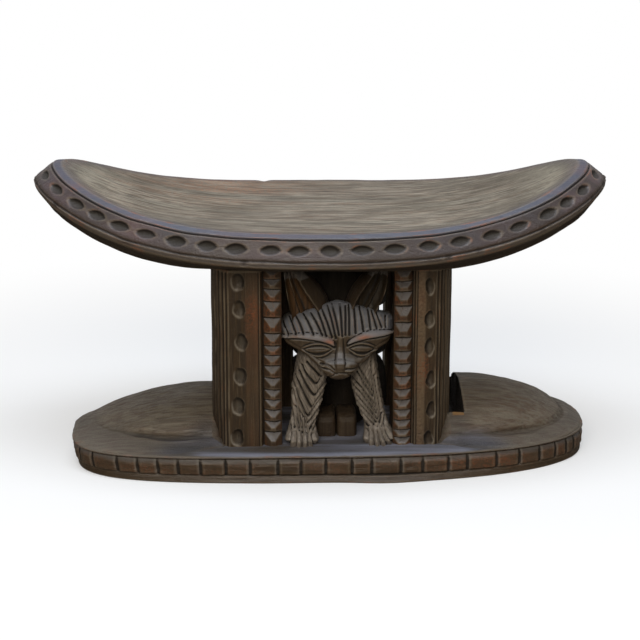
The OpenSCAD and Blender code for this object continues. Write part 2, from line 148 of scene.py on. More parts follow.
class StoolStudio(bpy.types.PropertyGroup):
    """Camera and lights"""
    camera_y: FloatProperty(name="Camera distance", description="Distance in front",
                            default=1.7, unit="LENGTH")
    camera_z: FloatProperty(name="Camera height", description="Height above the floor",
                            default=0.624, unit="LENGTH")
    pitch: FloatProperty(name="Pitch", description="How far the camera looks down",
                         default=math.radians(16.2), subtype="ANGLE")
    focal: FloatProperty(name="Focal length", description="Focal length on a 36 mm sensor",
                         default=99.225)
    overhead: FloatProperty(name="Overhead", description="Power of the overhead softbox",
                            default=26.5, unit="POWER")
    front: FloatProperty(name="Front", description="Power of the front softbox",
                         default=27.0, unit="POWER")
    sky: FloatProperty(name="Room", description="Strength of the light that the room gives back",
                       default=0.42, min=0.0, max=1.0)


# Carving tools

def lumps(p, size, seed=0):
    """Smooth seeded noise from -1 to 1, with lumps of the given size in millimetres"""
    q = p / np.asarray(size, float) + seed * 7.31
    cell = np.floor(q).astype(np.int64)
    f = q - cell
    f = f * f * (3 - 2 * f)
    total = np.zeros(p.shape[:-1])
    for corner in range(8):
        d = np.array([corner & 1, corner >> 1 & 1, corner >> 2 & 1])
        c = cell + d
        h = c[..., 0] * 73856093 ^ c[..., 1] * 19349663 ^ c[..., 2] * 83492791
        h = (h + seed * 7919) & 0x7FFFFFFF
        h = ((h ^ (h >> 13)) * 1274126177) & 0x7FFFFFFF
        h = (h ^ (h >> 16)) & 0xFFFF
        total += np.prod(np.where(d == 1, f, 1 - f), -1) * h
    return total / 32767.5 - 1


def lerp(a, b, t):
    """The place between a and b at share t"""
    return a + (b - a) * t


def step(low, high, x):
    """Smooth step from 0 at low to 1 at high"""
    t = np.clip((x - low) / (high - low), 0, 1)
    return t * t * (3 - 2 * t)


def vee(distance, half):
    """A V cut: 1 in the middle, 0 from half its width on"""
    return np.clip(1 - distance / half, 0, 1)


def ridge(distance, half):
    """A rounded ridge or gouge"""
    c = np.clip(distance / half, 0, 1)
    return (1 - c * c) ** 2


def gouge(cut):
    """Squares up a V cut: steeper walls, a flatter floor"""
    return np.clip(cut * 1.7, 0, 1) ** 0.8


def bend(a, b, c, d, t):
    """A smooth run from b to c, which a and d steer"""
    return 0.5 * (2 * b + (c - a) * t + (2 * a - 5 * b + 4 * c - d) * t * t
                  + (3 * b - a - 3 * c + d) * t ** 3)


def curve(points, steps=6):
    """A smooth path through the given points"""
    p = np.array([points[0], *points, points[-1]], float)
    return [bend(*p[k:k + 4], t) for k in range(len(p) - 3)
            for t in np.arange(steps) / steps] + [p[-1]]


def off_path(a, h, path):
    """Distance of each point from a path"""
    best = np.full(np.shape(a), 1e9)
    for p, q in zip(path, path[1:]):
        da, dh = q[0] - p[0], q[1] - p[1]
        t = np.clip(((a - p[0]) * da + (h - p[1]) * dh) / (da * da + dh * dh + 1e-9), 0, 1)
        best = np.minimum(best, np.hypot(a - p[0] - t * da, h - p[1] - t * dh))
    return best


def cuts(a, h, paths, half, smooth=True):
    """V cuts along several paths"""
    total = np.zeros(np.shape(a))
    for path in paths:
        total = np.maximum(total, vee(off_path(a, h, curve(path) if smooth else path), half))
    return total


def push(p, amount):
    """Moves a grid's points along its normals; columns run anticlockwise and rows upwards"""
    ring = p[:, :-1]
    du = np.roll(ring, -1, 1) - np.roll(ring, 1, 1)
    du = np.concatenate([du, du[:, :1]], 1)
    n = np.cross(du, np.gradient(p, axis=0))
    return p + n / (np.linalg.norm(n, axis=-1, keepdims=True) + 1e-9) * amount[..., None]


def soften(carve):
    """Rounds the carving a little, as a tool does"""
    ring = carve[:, :-1]
    ring = 0.5 * ring + 0.25 * (np.roll(ring, 1, 1) + np.roll(ring, -1, 1))
    carve = np.concatenate([ring, ring[:, :1]], 1)
    up = np.concatenate([carve[1:], carve[-1:]])
    down = np.concatenate([carve[:1], carve[:-1]])
    return 0.5 * carve + 0.25 * (up + down)


def askew(p):
    """Turns and shifts the lower log's points to their place under the seat"""
    c, s = math.cos(TWIST), math.sin(TWIST)
    return np.stack([p[..., 0] * c - p[..., 1] * s + SHIFT,
                     p[..., 0] * s + p[..., 1] * c, p[..., 2]], -1)


def run_of(p):
    """Distance run along a path, or up each column of a grid"""
    steps = np.linalg.norm(np.diff(p, axis=0), axis=-1)
    return np.concatenate([np.zeros_like(steps[:1]), np.cumsum(steps, axis=0)])


def even_columns(ring, cols):
    """Parameters at even distances along a closed ring given at even parameters"""
    run = run_of(ring)
    return np.interp(np.linspace(0, run[-1], cols + 1), run, np.linspace(0, 1, len(ring)))


def round_the_edge(marks, t, run, rest):
    """Where cuts stand on a ring: at the marked degrees in front, and at shares of the rest"""
    front = np.interp(np.array(marks) / 360, t, run)
    gap = run[-1] - front[-1] + front[0]
    return np.concatenate([front, (front[-1] + gap * rest) % run[-1]])


def grid(x, y, z):
    """A grid of points from three coordinates that fill each other out"""
    return np.stack(np.broadcast_arrays(x, y, z), -1).astype(float)


def capped(p):
    """Closes a skin at the middles of its first and last rings"""
    first, last = (np.tile(row.mean(0), (1, p.shape[1], 1)) for row in (p[0], p[-1]))
    return np.concatenate([first, p, last])


def padded(mask):
    """A mask with an empty row for each closed end"""
    pad = np.zeros((1, mask.shape[1]))
    return np.concatenate([pad, mask, pad])


def skin(name, points, masks):
    """Sculpts a flat grid into the given points, in millimetres, and welds its seams"""
    rows, cols = points.shape[0] - 1, points.shape[1] - 1
    bm = bmesh.new()
    bmesh.ops.create_grid(bm, x_segments=cols, y_segments=rows, size=0.5)
    mesh = bpy.data.meshes.new(name)
    bm.to_mesh(mesh)
    bm.free()
    flat = np.empty(len(mesh.vertices) * 3, np.float32)
    mesh.vertices.foreach_get("co", flat)
    flat = flat.reshape(-1, 3)
    span = flat.max(0) - flat.min(0)
    i = np.rint((flat[:, 0] - flat[:, 0].min()) / span[0] * cols).astype(int)
    j = np.rint((flat[:, 1] - flat[:, 1].min()) / span[1] * rows).astype(int)
    mesh.vertices.foreach_set("co", (points[j, i] * MM).astype(np.float32).ravel())
    for key, values in masks.items():
        values = np.broadcast_to(np.clip(values, 0, 1), points.shape[:2])[j, i]
        store(mesh, key, values)
    bm = bmesh.new()
    bm.from_mesh(mesh)
    bmesh.ops.remove_doubles(bm, verts=bm.verts[:], dist=0.00001)
    bmesh.ops.recalc_face_normals(bm, faces=bm.faces[:])
    bm.to_mesh(mesh)
    bm.free()
    piece = bpy.data.objects.new(name, mesh)
    bpy.context.scene.collection.objects.link(piece)
    return piece


def store(mesh, key, values):
    """Keeps a value for each point of a mesh"""
    layer = mesh.attributes.new(key, "FLOAT", "POINT")
    layer.data.foreach_set("value", values.astype(np.float32))


def measure_relief(piece, passes, depth):
    """Stores how far each point lies below or above its surroundings"""
    mesh = piece.data
    n = len(mesh.vertices)
    co = np.empty(n * 3)
    mesh.vertices.foreach_get("co", co)
    co = co.reshape(-1, 3) / MM
    normal = np.empty(n * 3)
    mesh.vertices.foreach_get("normal", normal)
    normal = normal.reshape(-1, 3)
    edges = np.empty(len(mesh.edges) * 2, np.int32)
    mesh.edges.foreach_get("vertices", edges)
    a, b = edges.reshape(-1, 2).T
    count = np.bincount(a, minlength=n) + np.bincount(b, minlength=n)
    soft = co.copy()
    for _ in range(passes):
        total = np.stack([np.bincount(a, soft[b, k], n) + np.bincount(b, soft[a, k], n)
                          for k in range(3)], -1)
        soft = 0.3 * soft + 0.7 * total / np.maximum(count, 1)[:, None]
    height = ((co - soft) * normal).sum(-1) / depth
    store(mesh, "hollow", np.clip(-height, 0, 1))
    store(mesh, "edge", np.clip(height, 0, 1))


def finish_piece(piece, nodes, material, passes, depth=0.5):
    """Smooths the shading, measures the relief, and hands the piece to the frame"""
    mesh = piece.data
    mesh.polygons.foreach_set("use_smooth", [True] * len(mesh.polygons))
    mesh.update()
    measure_relief(piece, passes, depth)
    mesh.materials.append(bpy.data.materials[material])
    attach(piece, "root")
    if nodes:
        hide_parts(*nodes)


# Seat

# Where the pits along the front were gouged, in degrees round the seat
FRONT_PITS = (189.0, 201.5, 211.8, 219.5, 226.8, 233.8, 241.2, 248.0, 254.0, 260.8, 266.2,
              271.8, 277.8, 284.2, 291.2, 298.0, 305.5, 312.8, 322.0, 329.5, 338.2, 352.2)
REAR_PITS = 20
# Columns of the skin round the seat
SEAT_COLS = 800
# How square the seat's outline is
OVAL = 2.06
# How far the lip and the rim climb towards the ends, and how late in their length
LIP_RISE, LIP_LATE = 54.5, 3
RIM_LATE = 3.3
# How far the underside's edge stands in from the lip, at the ends and the sides, how much it
# climbs to the ends, and from which share of the length on
UNDER_END, UNDER_SIDE = 30, 50
UNDER_RISE, UNDER_FROM = 37, 0.44
# The lower edge between the underside and the lip: its insets, height, climb and lateness
LOW_EDGE = (12, 32, 4.8, 48, 3.7)
# The groove's outer and inner walls: shares of the band's widths, drop and climb
GROOVE_WALLS = ((0.44, 0.52, 5.6, 47), (0.33, 0.36, 3.1, 46.6))
# A small chip out of the rear rim
CHIP_X, CHIP_DEPTH = -59, 1.5


def oval(a, b, n, t):
    """A rounded oval, squarer as n grows; t in turns"""
    c, s = np.cos(t * math.tau), np.sin(t * math.tau)
    return (a * np.sign(c) * np.abs(c) ** (2 / n), b * np.sign(s) * np.abs(s) ** (2 / n))


def seat_ring(t, half_l, half_d, z, rise, late):
    """A ring round the seat that climbs towards the ends"""
    x, y = oval(half_l, half_d, OVAL, t)
    return grid(x, y, z + rise * (np.abs(x) / half_l) ** late)


def between(rings, low, high, count):
    """Adds rings from low up to, but not including, high"""
    rings += [lerp(low, high, k / count) for k in range(count)]


class STOOL_OT_seat(bpy.types.Operator):
    """Carve the crescent seat with its pitted band, groove and worn lip"""
    bl_idname = "stool.seat"
    bl_label = "Seat"

    def execute(self, context):
        s = context.scene.stool_seat
        mid = s.top_z - s.rise
        rim_a, rim_b = s.half_l - s.band_end, s.half_d - s.band_side
        lip = (s.half_l, s.half_d, mid - s.band_h, LIP_RISE, LIP_LATE)
        t = even_columns(seat_ring(np.linspace(0, 1, 2001), *lip), SEAT_COLS)
        ring = functools.partial(seat_ring, t)
        under_a, under_b = s.half_l - UNDER_END, s.half_d - UNDER_SIDE
        x0, y0 = oval(under_a, under_b, OVAL, t)

        def under(r):
            """A ring of the underside, at a share r of its edge"""
            x = x0 * r
            far = np.maximum(0, np.abs(x) / under_a - UNDER_FROM) / (1 - UNDER_FROM)
            return grid(x, y0 * r, s.under_z + UNDER_RISE * far ** 2)

        rim = ring(rim_a, rim_b, mid, s.rise, RIM_LATE)

        def top(r):
            """A ring of the dished top, at a share r of its rim"""
            x = rim[:, 0] * r
            z = mid + s.rise * (np.abs(x) / rim_a) ** RIM_LATE - s.dish * (1 - r ** 2.2)
            return grid(x, rim[:, 1] * r, z)

        end, side, lift, rise, late = LOW_EDGE
        low_edge = ring(s.half_l - end, s.half_d - side, s.under_z + lift, rise, late)
        lip_low = ring(s.half_l - 1, s.half_d - 0.7, mid - s.band_h - 4.4, 55, LIP_LATE)
        lip_top = ring(*lip)
        groove_out, groove_in = (
            ring(rim_a + s.band_end * end, rim_b + s.band_side * side, mid - drop, rise, RIM_LATE)
            for end, side, drop, rise in GROOVE_WALLS)
        rings = [under(r) for r in np.linspace(0, 1, 15)[:-1]]
        between(rings, under(1), low_edge, 7)
        between(rings, low_edge, lip_low, 9)
        lip_row = len(rings)
        between(rings, lip_low, lip_top, 5)
        band_row = len(rings)
        between(rings, lip_top, groove_out, 32)
        between(rings, groove_out, groove_in, 8)
        groove_row = len(rings) - 4
        between(rings, groove_in, rim, 8)
        rim_row = len(rings)
        inner = 1 - np.linspace(0, 1, 31) ** 1.25
        rings += [top(r) for r in inner]
        p = np.array(rings)
        rows = np.arange(len(p))[:, None]

        # Distances up the profile and along the band, and two slow waves
        climb = run_of(p)
        run = run_of(lerp(p[band_row], p[groove_row], 0.5))
        around = run[-1]
        wave = lumps(p, (26, 26, 400), 3)
        slow = lumps(p, (70, 70, 900), 5)
        carve = np.zeros(p.shape[:2])

        # The groove wanders a little under the rim strip
        line = climb[groove_row] + 1.5 * slow[groove_row] + 0.8 * wave[groove_row]
        carve -= 2.3 * vee(np.abs(climb - line), 1.25)
        # The lip is a thin edge under a shallow line, chipped by wear
        chips = step(0.25, 0.8, lumps(p, (9, 9, 60), 9)[lip_row])
        line = climb[band_row] + 2.0 + 0.9 * wave[band_row]
        carve -= (1.1 + 0.5 * slow[band_row]) * vee(np.abs(climb - line), 1.3)
        near_lip = np.exp(-((climb - climb[band_row]) / 3.0) ** 2)
        carve += near_lip * (0.9 * slow[band_row] + 0.7 * wave[band_row] - 1.0 * chips)

        # Pits: lens-shaped gouges, steep above and easy below
        rest = (np.arange(REAR_PITS) + 1) / (REAR_PITS + 1)
        jitter = np.random.default_rng(4)
        pit, pit_edge = np.zeros(carve.shape), np.zeros(carve.shape)
        centre = lerp(climb[band_row], climb[groove_row], 0.55)
        for at in round_the_edge(FRONT_PITS, t, run, rest):
            size, lean, lift, deep = jitter.uniform(-1, 1, 4)
            along = (run - at + around / 2) % around - around / 2
            col = np.abs(along) < s.pit_l
            d = along[col]
            up = (climb[:, col] - centre[col]) - 0.5 * lift - 0.05 * lean * d
            half = s.pit_l / 2 * (1 + 0.08 * size)
            tall = s.pit_w / 2 * (1 + 0.1 * deep)
            lens = np.maximum(1 - (np.abs(d) / half) ** 2.1, 0.001) ** 0.72
            q = up / (tall * lens)
            shape = np.clip(1 - np.abs(q) ** 2.4, 0, 1) ** 0.7 * (1 + 0.4 * np.clip(q, -1, 1))
            carve[:, col] -= s.pit_depth * (1 + 0.15 * deep) * shape * lens ** 0.5
            inside = np.abs(d) < half
            pit[:, col] = np.maximum(pit[:, col], shape * inside)
            # A dark line along each pit's steep upper edge, for painted shade
            line = np.exp(-((np.abs(up) - tall * lens + 0.7) / 0.9) ** 2) * inside
            pit_edge[:, col] = np.maximum(pit_edge[:, col], line * np.clip(0.7 + 0.5 * q, 0, 1))

        # Tool marks: soft facets on the band, long shallow strokes along the top
        on_top = step(rim_row - 1, rim_row + 4, rows)
        on_band = step(lip_row - 1, lip_row + 2, rows) * (1 - on_top)
        below = 1 - step(lip_row - 3, lip_row, rows)
        carve += 0.25 * on_band * lumps(p, (14, 14, 9), 11)
        carve += on_top * (0.35 * lumps(p, (60, 9, 60), 13) + 0.12 * lumps(p, (30, 3, 30), 17))
        carve += below * (0.8 * lumps(p, (40, 22, 22), 19) + 0.2 * lumps(p, (12, 6, 6), 23))
        carve *= step(0, 3, rows) * (1 - step(len(p) - 4, len(p) - 1, rows))
        chip = np.exp(-((p[..., 0] - CHIP_X) / 4.5) ** 2 - ((p[..., 1] - rim_b) / 6) ** 2)
        p = push(p, soften(carve))
        p[..., 2] -= CHIP_DEPTH * chip * (rows > band_row)
        low = np.array([-s.half_l, -s.half_d, s.under_z - 1])
        p = np.clip(p, low, (s.half_l, s.half_d, s.top_z))
        masks = {
            "top": on_top,
            "ends": step(0.72, 1.0, np.abs(p[..., 0]) / rim_a) * on_top,
            "ruddy": on_top * np.exp(-((p[..., 0] + 105) / 95) ** 2) * step(-20, 70, p[..., 1]),
            "pit": pit,
            "lip": vee(np.abs(climb - climb[band_row] + 1.6), 2.4) * step(-0.7, 0.1, wave),
            "pit_edge": pit_edge,
            "low_band": step(lip_row - 2, lip_row, rows)
            * (1 - step(2.5, 7.5, climb - climb[band_row])),
            "band": on_band,
            # The rim strip, which the seat's wood tints with a painted sheen
            "strip": step(groove_row - 1, groove_row + 2, rows)
            * (1 - step(rim_row - 1, rim_row + 1, rows)),
            "under": below,
        }
        finish_piece(skin("carved_seat", p, masks), ["seat"], "Seat wood", 8, 0.55)
        return {"FINISHED"}


# Base and mounds

# Where the joints between the front bricks were cut, in degrees round the base
FRONT_JOINTS = (195.4, 199.9, 205.0, 208.6, 212.2, 216.0, 220.8, 227.0, 234.4, 244.6, 254.5,
                266.4, 279.1, 288.4, 300.5, 308.4, 316.2, 321.4, 328.4, 333.5, 338.1, 341.9,
                345.1, 347.8, 351.9)
REAR_JOINTS = 25
# Columns of the skin round the base
BASE_COLS = 960
# How far below the deck's edge the line over the bricks is cut
LINE_DROP = 2.6
# How blunt the outline is at its front left, rear left and right corners
BLUNT_LEFT = 4.2
BLUNT_REAR = 1.8
BLUNT_RIGHT = 2.6


def base_radius(a, b, t):
    """Distance of the base's outline from its middle; t in turns"""
    c, s = np.cos(t * math.tau), np.sin(t * math.tau)
    n = np.where(c < 0, np.where(s > 0, BLUNT_REAR, BLUNT_LEFT), BLUNT_RIGHT)
    return 1 / ((np.abs(c) / a) ** n + (np.abs(s) / b) ** n) ** (1 / n)


class STOOL_OT_base(bpy.types.Operator):
    """Carve the base's slab with its brick-cut edge"""
    bl_idname = "stool.base"
    bl_label = "Base"

    def execute(self, context):
        s = context.scene.stool_base

        def outline(t, inset, z):
            """The base's plan at a height, moved in by an inset"""
            r = base_radius(s.half_l - inset, s.half_d - inset, t)
            return grid(r * np.cos(t * math.tau), r * np.sin(t * math.tau), z)

        t = even_columns(outline(np.linspace(0, 1, 2001), 0, 0), BASE_COLS)
        c, n = np.cos(t * math.tau), np.sin(t * math.tau)
        lean = s.undercut * np.abs(c) ** 4 * np.where(c > 0, 0.1, 0.8)
        spread = s.spread * step(0.1, 0.9, -n) * (1 + 0.9 * np.exp(-((c - 0.42) / 0.25) ** 2))

        def ring(inset, z):
            """A ring of the edge, with the ends' lean and the foot's spread"""
            foot = spread * np.clip(1 - z / s.foot_h, 0, 1) ** 0.6
            return outline(t, inset + lean * (1 - z / s.height) - foot, z)

        line_z = s.height - LINE_DROP
        # Insets and heights up the edge, and the rows between each and the next
        edge_rings = [ring(*at) for at in (
            (3.0, 0), (1.6, 1.0), (1.4, s.foot_h - 0.6), (0, s.foot_h + 0.8), (0, line_z),
            (0.2, line_z + 1.7), (1.6, s.height))]
        counts = (3, 6, 4, 26, 8, 4)
        rings = [edge_rings[0] * (r, r, 1) for r in (0, 0.4, 0.8)]
        foot_row, brick_row, line_row, _, deck_row = np.cumsum(counts)[1:] + len(rings)
        for low, high, count in zip(edge_rings, edge_rings[1:], counts):
            between(rings, low, high, count)
        rings += [edge_rings[-1] * (r, r, 1) for r in 1 - np.linspace(0, 1, 26) ** 1.1]
        p = np.array(rings)
        rows = np.arange(len(p))[:, None]
        edge = outline(t, 0, 0)
        run = run_of(edge)
        around = run[-1]
        jitter = np.random.default_rng(8)
        rest = (np.arange(REAR_JOINTS) + 1) / (REAR_JOINTS + 1)
        rest += jitter.uniform(-0.2, 0.2, REAR_JOINTS) / (REAR_JOINTS + 1)
        joints = np.sort(round_the_edge(FRONT_JOINTS, t, run, rest))
        lean_of = jitter.uniform(-1, 1, len(joints))
        z = p[..., 2]
        wob = lumps(p, (18, 18, 500), 31)
        brick = np.searchsorted(joints, run) % len(joints)
        inner_end = np.where(edge[:, 0] < 0, joints[brick] - run, run - joints[brick - 1]) % around

        # Each brick is a pillow: chamfered at its joints, more along its top
        gap = np.abs((run[:, None] - joints + around / 2) % around - around / 2).min(1)
        top_gap = (line_z - 0.2 + 0.35 * wob - z) / (5.2 + 1.2 * lean_of[brick])
        foot_gap = (z - s.foot_h - 0.2 - 0.3 * wob) / 1.3
        side_gap = gap / (1.7 + 0.4 * lean_of[brick])
        pillow = np.clip(np.minimum(np.minimum(top_gap, foot_gap), side_gap), 0, 1)
        in_band = ((rows >= brick_row - 2) & (rows <= line_row + 2)) * 1.0
        top_cut = 1 - np.clip(top_gap, 0, 1)
        carve = -in_band * (s.joint * (1 - pillow) ** 1.1 + 0.9 * top_cut + 1.2 * vee(gap, 1.2))
        carve -= in_band * 0.5 * (1 + lean_of[brick]) * pillow
        carve -= in_band * 0.6 * np.abs(lumps(p, (11, 11, 5), 43))
        # The line above the bricks
        line = line_z + 0.7 + 0.35 * wob
        carve -= (rows > line_row - 3) * (rows < deck_row) * 2.1 * vee(np.abs(z - line), 1.0)
        near_edge = step(foot_row - 4, foot_row, rows) * (1 - step(deck_row, deck_row + 4, rows))
        carve -= in_band * 0.8 * vee(np.abs(z - s.foot_h - 0.9), 1.0)
        carve += near_edge * (0.5 * lumps(p, (30, 30, 30), 33) + 0.25 * lumps(p, (5, 5, 5), 35))
        on_deck = step(deck_row - 1, deck_row + 1, rows)
        carve += on_deck * (0.3 * lumps(p, (40, 14, 20), 37) + 0.12 * lumps(p, (22, 4, 4), 39))
        carve += (1 - step(foot_row - 2, foot_row, rows)) * step(3, 6, rows) \
            * 0.7 * lumps(p, (24, 24, 24), 41)
        carve *= (rows > 2) & (rows < len(p) - 2)
        p = push(p, soften(carve))
        p[..., 2] = np.maximum(p[..., 2], 0)
        masks = {
            "deck": on_deck,
            "brick": in_band * pillow,
            # The bricks' top bevels, which take a painted highlight
            "bevel": in_band * top_cut * step(0.2, 0.7, side_gap) * step(0.02, 0.2, top_gap),
            "joint": np.maximum(in_band * vee(gap, 1.3), near_edge * np.maximum(
                vee(np.abs(z - line), 0.9) * (rows < deck_row),
                0.8 * vee(np.abs(z - s.foot_h - 0.9 - 0.4 * wob), 0.9))),
            "glint": in_band * vee(np.abs(inner_end - 2.2), 1.6) * (0.6 + 0.4 * lean_of[brick]),
            "lit": on_deck * (1 - step(124, 144, np.abs(p[..., 0]))),
            "end": on_deck * step(140, 180, np.abs(p[..., 0])),
        }
        finish_piece(skin("carved_base", askew(p), masks), ["base"], "Base wood", 6)
        return {"FINISHED"}


# Columns round a mound's arc and along its straight back, and rows up its skirt and its dome
ARC_COLS, CHORD_COLS, SKIRT_ROWS, DOME_ROWS = 300, 60, 26, 84
# How full each mound's end is
LEFT_FULL, RIGHT_FULL = 1.7, 2.9
# How far a mound's foot stands in from the base's edge
MOUND_RIM = 3.0
# How far a mound's back keeps inside the posts' outer faces, by the distance to their front
BACK_GAP, BACK_INSET = (-2, 0, 4.4, 11, 19, 27, 39, 45), (13, 16, 12.5, 8.5, 6, 9, 14, 0)


def mound_points(side, s, posts, height, width, full):
    """Rings of one mound, from its foot on the base's rim to its crest by the posts"""
    half = posts.span / 2
    far = s.half_l - half

    def radius(turn):
        """Distance of the foot from the base's middle; turn counts from the mound's own end"""
        return base_radius(s.half_l - MOUND_RIM, s.half_d - MOUND_RIM,
                           turn if side > 0 else 0.5 - turn)

    probe = np.linspace(0, 0.25, 400)
    last = probe[radius(probe) * np.cos(probe * math.tau) >= half].max()
    k = np.linspace(-1, 1, ARC_COLS + 1)
    chord = np.linspace(0, 1, CHORD_COLS + 1)[1:]

    def close(x, y):
        """Adds the straight back of a ring, which stands clear of the posts' corners"""
        back_y = lerp(y[-1], y[0], chord)
        inset = np.interp(posts.face_y - np.abs(back_y), BACK_GAP, BACK_INSET)
        inset = inset * np.minimum(1, np.minimum(chord, 1 - chord) * 60)
        return np.concatenate([x, half - inset]), np.concatenate([y, back_y])

    turn = k * last
    r = radius(turn)
    fx, fy = r * np.cos(turn * math.tau), r * np.sin(turn * math.tau)
    near = np.maximum(0, 1 - (fx - half) / (far * 0.35)) ** 1.5
    fy = np.sign(k) * lerp(np.abs(fy), posts.face_y + 2, near)
    fx[0] = fx[-1] = half - 12
    fy[0], fy[-1] = 1 - posts.face_y, posts.face_y - 1
    foot = close(fx, fy)
    crease_reach = far * 0.86
    skirt = 0.2 * height

    def dome(x):
        """A ring of the dome; x is the share of the way up from the crease"""
        reach = crease_reach * (1 - x) ** (1 / full)
        wide = width * (1 - x ** 1.75) ** 0.62
        ox, oy = oval(reach, wide, 2.3, k * 0.25)
        return close(half + ox, oy)

    crease = dome(0.0)
    sunk = s.height - 1.5
    rings = [grid(half + 6, 0 * foot[1], sunk), grid(*foot, sunk)]
    for u in np.arange(SKIRT_ROWS) / SKIRT_ROWS:
        rings.append(grid(lerp(foot[0], crease[0], u), lerp(foot[1], crease[1], u),
                          s.height + skirt * u ** 0.85))
    crease_row = len(rings)
    for u in np.arange(DOME_ROWS + 1) / DOME_ROWS:
        x = 1 - (1 - u) ** 1.6
        rings.append(grid(*dome(min(x, 0.9999)), s.height + skirt + (height - skirt) * x))
    rings.append(grid(half - 4, 0 * foot[1], s.height + height))
    return np.array(rings), crease_row


# Front and rear of the slot, the thickness of its walls, and its floor above the deck
SLOT_Y = (-60, 66)
SLOT_WALL, SLOT_FLOOR = 0.5, 1.2


class STOOL_OT_mounds(bpy.types.Operator):
    """Carve the mounds at both ends of the base and the slot by the right one"""
    bl_idname = "stool.mounds"
    bl_label = "Mounds"

    def execute(self, context):
        s, posts = context.scene.stool_base, context.scene.stool_posts
        for side, name, height, width, full in (
                (-1, "left_mound", s.left_h, s.left_w, LEFT_FULL),
                (1, "right_mound", s.right_h, s.right_w, RIGHT_FULL)):
            p, crease_row = mound_points(side, s, posts, height, width, full)
            rows = np.arange(len(p))[:, None]
            cols = np.arange(p.shape[1])[None]
            climb = run_of(p)
            on_arc = ((cols <= ARC_COLS) & (rows > 1) & (rows < len(p) - 2)) * 1.0
            # Hewn facets, then the grain that stands out on the worn top
            seed = 50 + side
            carve = 1.1 * lumps(p, (46, 30, 30), seed) + 0.4 * lumps(p, (20, 14, 14), seed + 1)
            grain = lumps(p, (46, 3.6, 3.6), seed + 3)
            carve += 0.3 * grain * (rows > crease_row) + 0.12 * grain
            carve += 0.22 * lumps(p, (15, 5, 5), seed + 5)
            sway = lumps(p, (34, 34, 90), seed + 7)
            line = climb[crease_row] + 3.0 * sway[crease_row]
            # The crease is deepest in front, and fades out towards the posts and the end
            ahead = 1 - step(0.3, 0.5, cols / ARC_COLS)
            fade = ahead * (1 if side < 0 else 0.3) * (1 + 0.4 * lumps(p, (50, 50, 90), seed + 9))
            out = np.abs(p[..., 0]) - posts.span / 2
            fade = fade * step(-10, 30, out) * (1 - step(70, 92, out))
            inner = 1 - step(28, 66, out)
            if side > 0:
                carve -= 1.5 * (1 - inner) * ridge(np.abs(climb - line), 7)
            carve -= 2.3 * fade * ridge(np.abs(climb - line), 9.5)
            carve -= 0.9 * fade * step(-0.2, 0.4, sway) * ridge(np.abs(climb - line - 0.8), 3.0)
            p = push(p, carve * on_arc)
            if side < 0:
                p[..., 0] *= -1
            blur = 1 - step(-9, 12, climb - line + 9 * lumps(p, (24, 12, 12), seed + 11))
            masks = {"skirt": blur * inner * ahead, "ring": blur * (1 - inner),
                     # By the posts' front corners, which take painted shade
                     "corner": (1 - step(6, 26, out)) * step(-50, -64, p[..., 1]),
                     "shade": fade * ridge(np.abs(climb - line + 1), 5),
                     "slate": blur * ahead * (1 - step(30, 75, out)) * step(-78, -90, p[..., 1])}
            piece = skin("carved_" + name, askew(p), masks)
            if side > 0:
                self.cut_slot(piece, s, posts)
            finish_piece(piece, [name], "Mound wood", 10, 0.55)
        return {"FINISHED"}

    def cut_slot(self, piece, s, posts):
        """Cuts the slot between the mound and the posts, down to a low sill"""
        half, wall = posts.span / 2, SLOT_WALL
        front, rear = SLOT_Y
        edge = half + s.slot_w
        c, n = math.cos(TWIST), math.sin(TWIST)
        bm = bmesh.new()
        bm.from_mesh(piece.data)
        for x, y, nx, ny in ((edge, 0, 1, 0), (edge - wall, 0, 1, 0), (edge, front, 0, 1),
                             (edge, front + wall, 0, 1), (edge, rear, 0, 1),
                             (edge, rear - wall, 0, 1)):
            bmesh.ops.bisect_plane(
                bm, geom=bm.verts[:] + bm.edges[:] + bm.faces[:], dist=0.000001,
                plane_co=askew(np.array([x, y, 30.0])) * MM,
                plane_no=(nx * c - ny * n, nx * n + ny * c, 0))
        # The slot's walls are marked for a near-black colour, painted shade for the deep slot
        slot_shade = bm.verts.layers.float.new("slot")
        # The sill's top is marked for a bright orange, a painted highlight
        sill = bm.verts.layers.float.new("sill")
        for v in bm.verts:
            x, y = v.co.x / MM - SHIFT, v.co.y / MM
            x, y = x * c + y * n, y * c - x * n
            v[slot_shade] = x < edge + 0.2 and front < y < rear
            v[sill] = half + 3 < x < edge - wall * 0.5 and front - 3.5 < y < front + wall * 0.5
            if x < edge - wall * 0.9 and front + wall * 0.9 < y < rear - wall * 0.9:
                v.co.z = min(v.co.z, (s.height + SLOT_FLOOR) * MM)
        bm.to_mesh(piece.data)
        bm.free()


# Posts

# Where a post's skin starts in the base and ends in the seat
POST_LOW, POST_TOP = 23.5, 203.5
# Heights of the notches down the front rails, from the top
LEFT_NOTCHES = (200.7, 190.4, 181.0, 167.5, 150.8, 135.2, 124.3, 115.4, 104.2, 91.3, 79.5, 70.0,
                59.3, 47.3, 37.2)
RIGHT_NOTCHES = (199.1, 187.1, 177.9, 161.7, 144.4, 130.4, 116.5, 104.7, 91.7, 78.2, 68.7, 58.5,
                 47.8, 38.2, 30.9)
EVEN_NOTCHES = tuple(200 - 12 * k for k in range(15))
# Places of the dimples: distance in from the post's outer face, and height
LEFT_DIMPLES = ((26.9, 192.1), (28.2, 165.2), (29.5, 132.3), (28.5, 97.9), (25.9, 67.7),
                (24.9, 35.5))
RIGHT_DIMPLES = ((23.7, 185.9), (23.8, 153.7), (23.9, 125.8), (21.5, 93.0), (20.5, 62.1),
                 (22.8, 32.2))
EVEN_DIMPLES = tuple((26, 186 - 29.5 * k) for k in range(6))
DIMPLE_HALF_H = 8.7
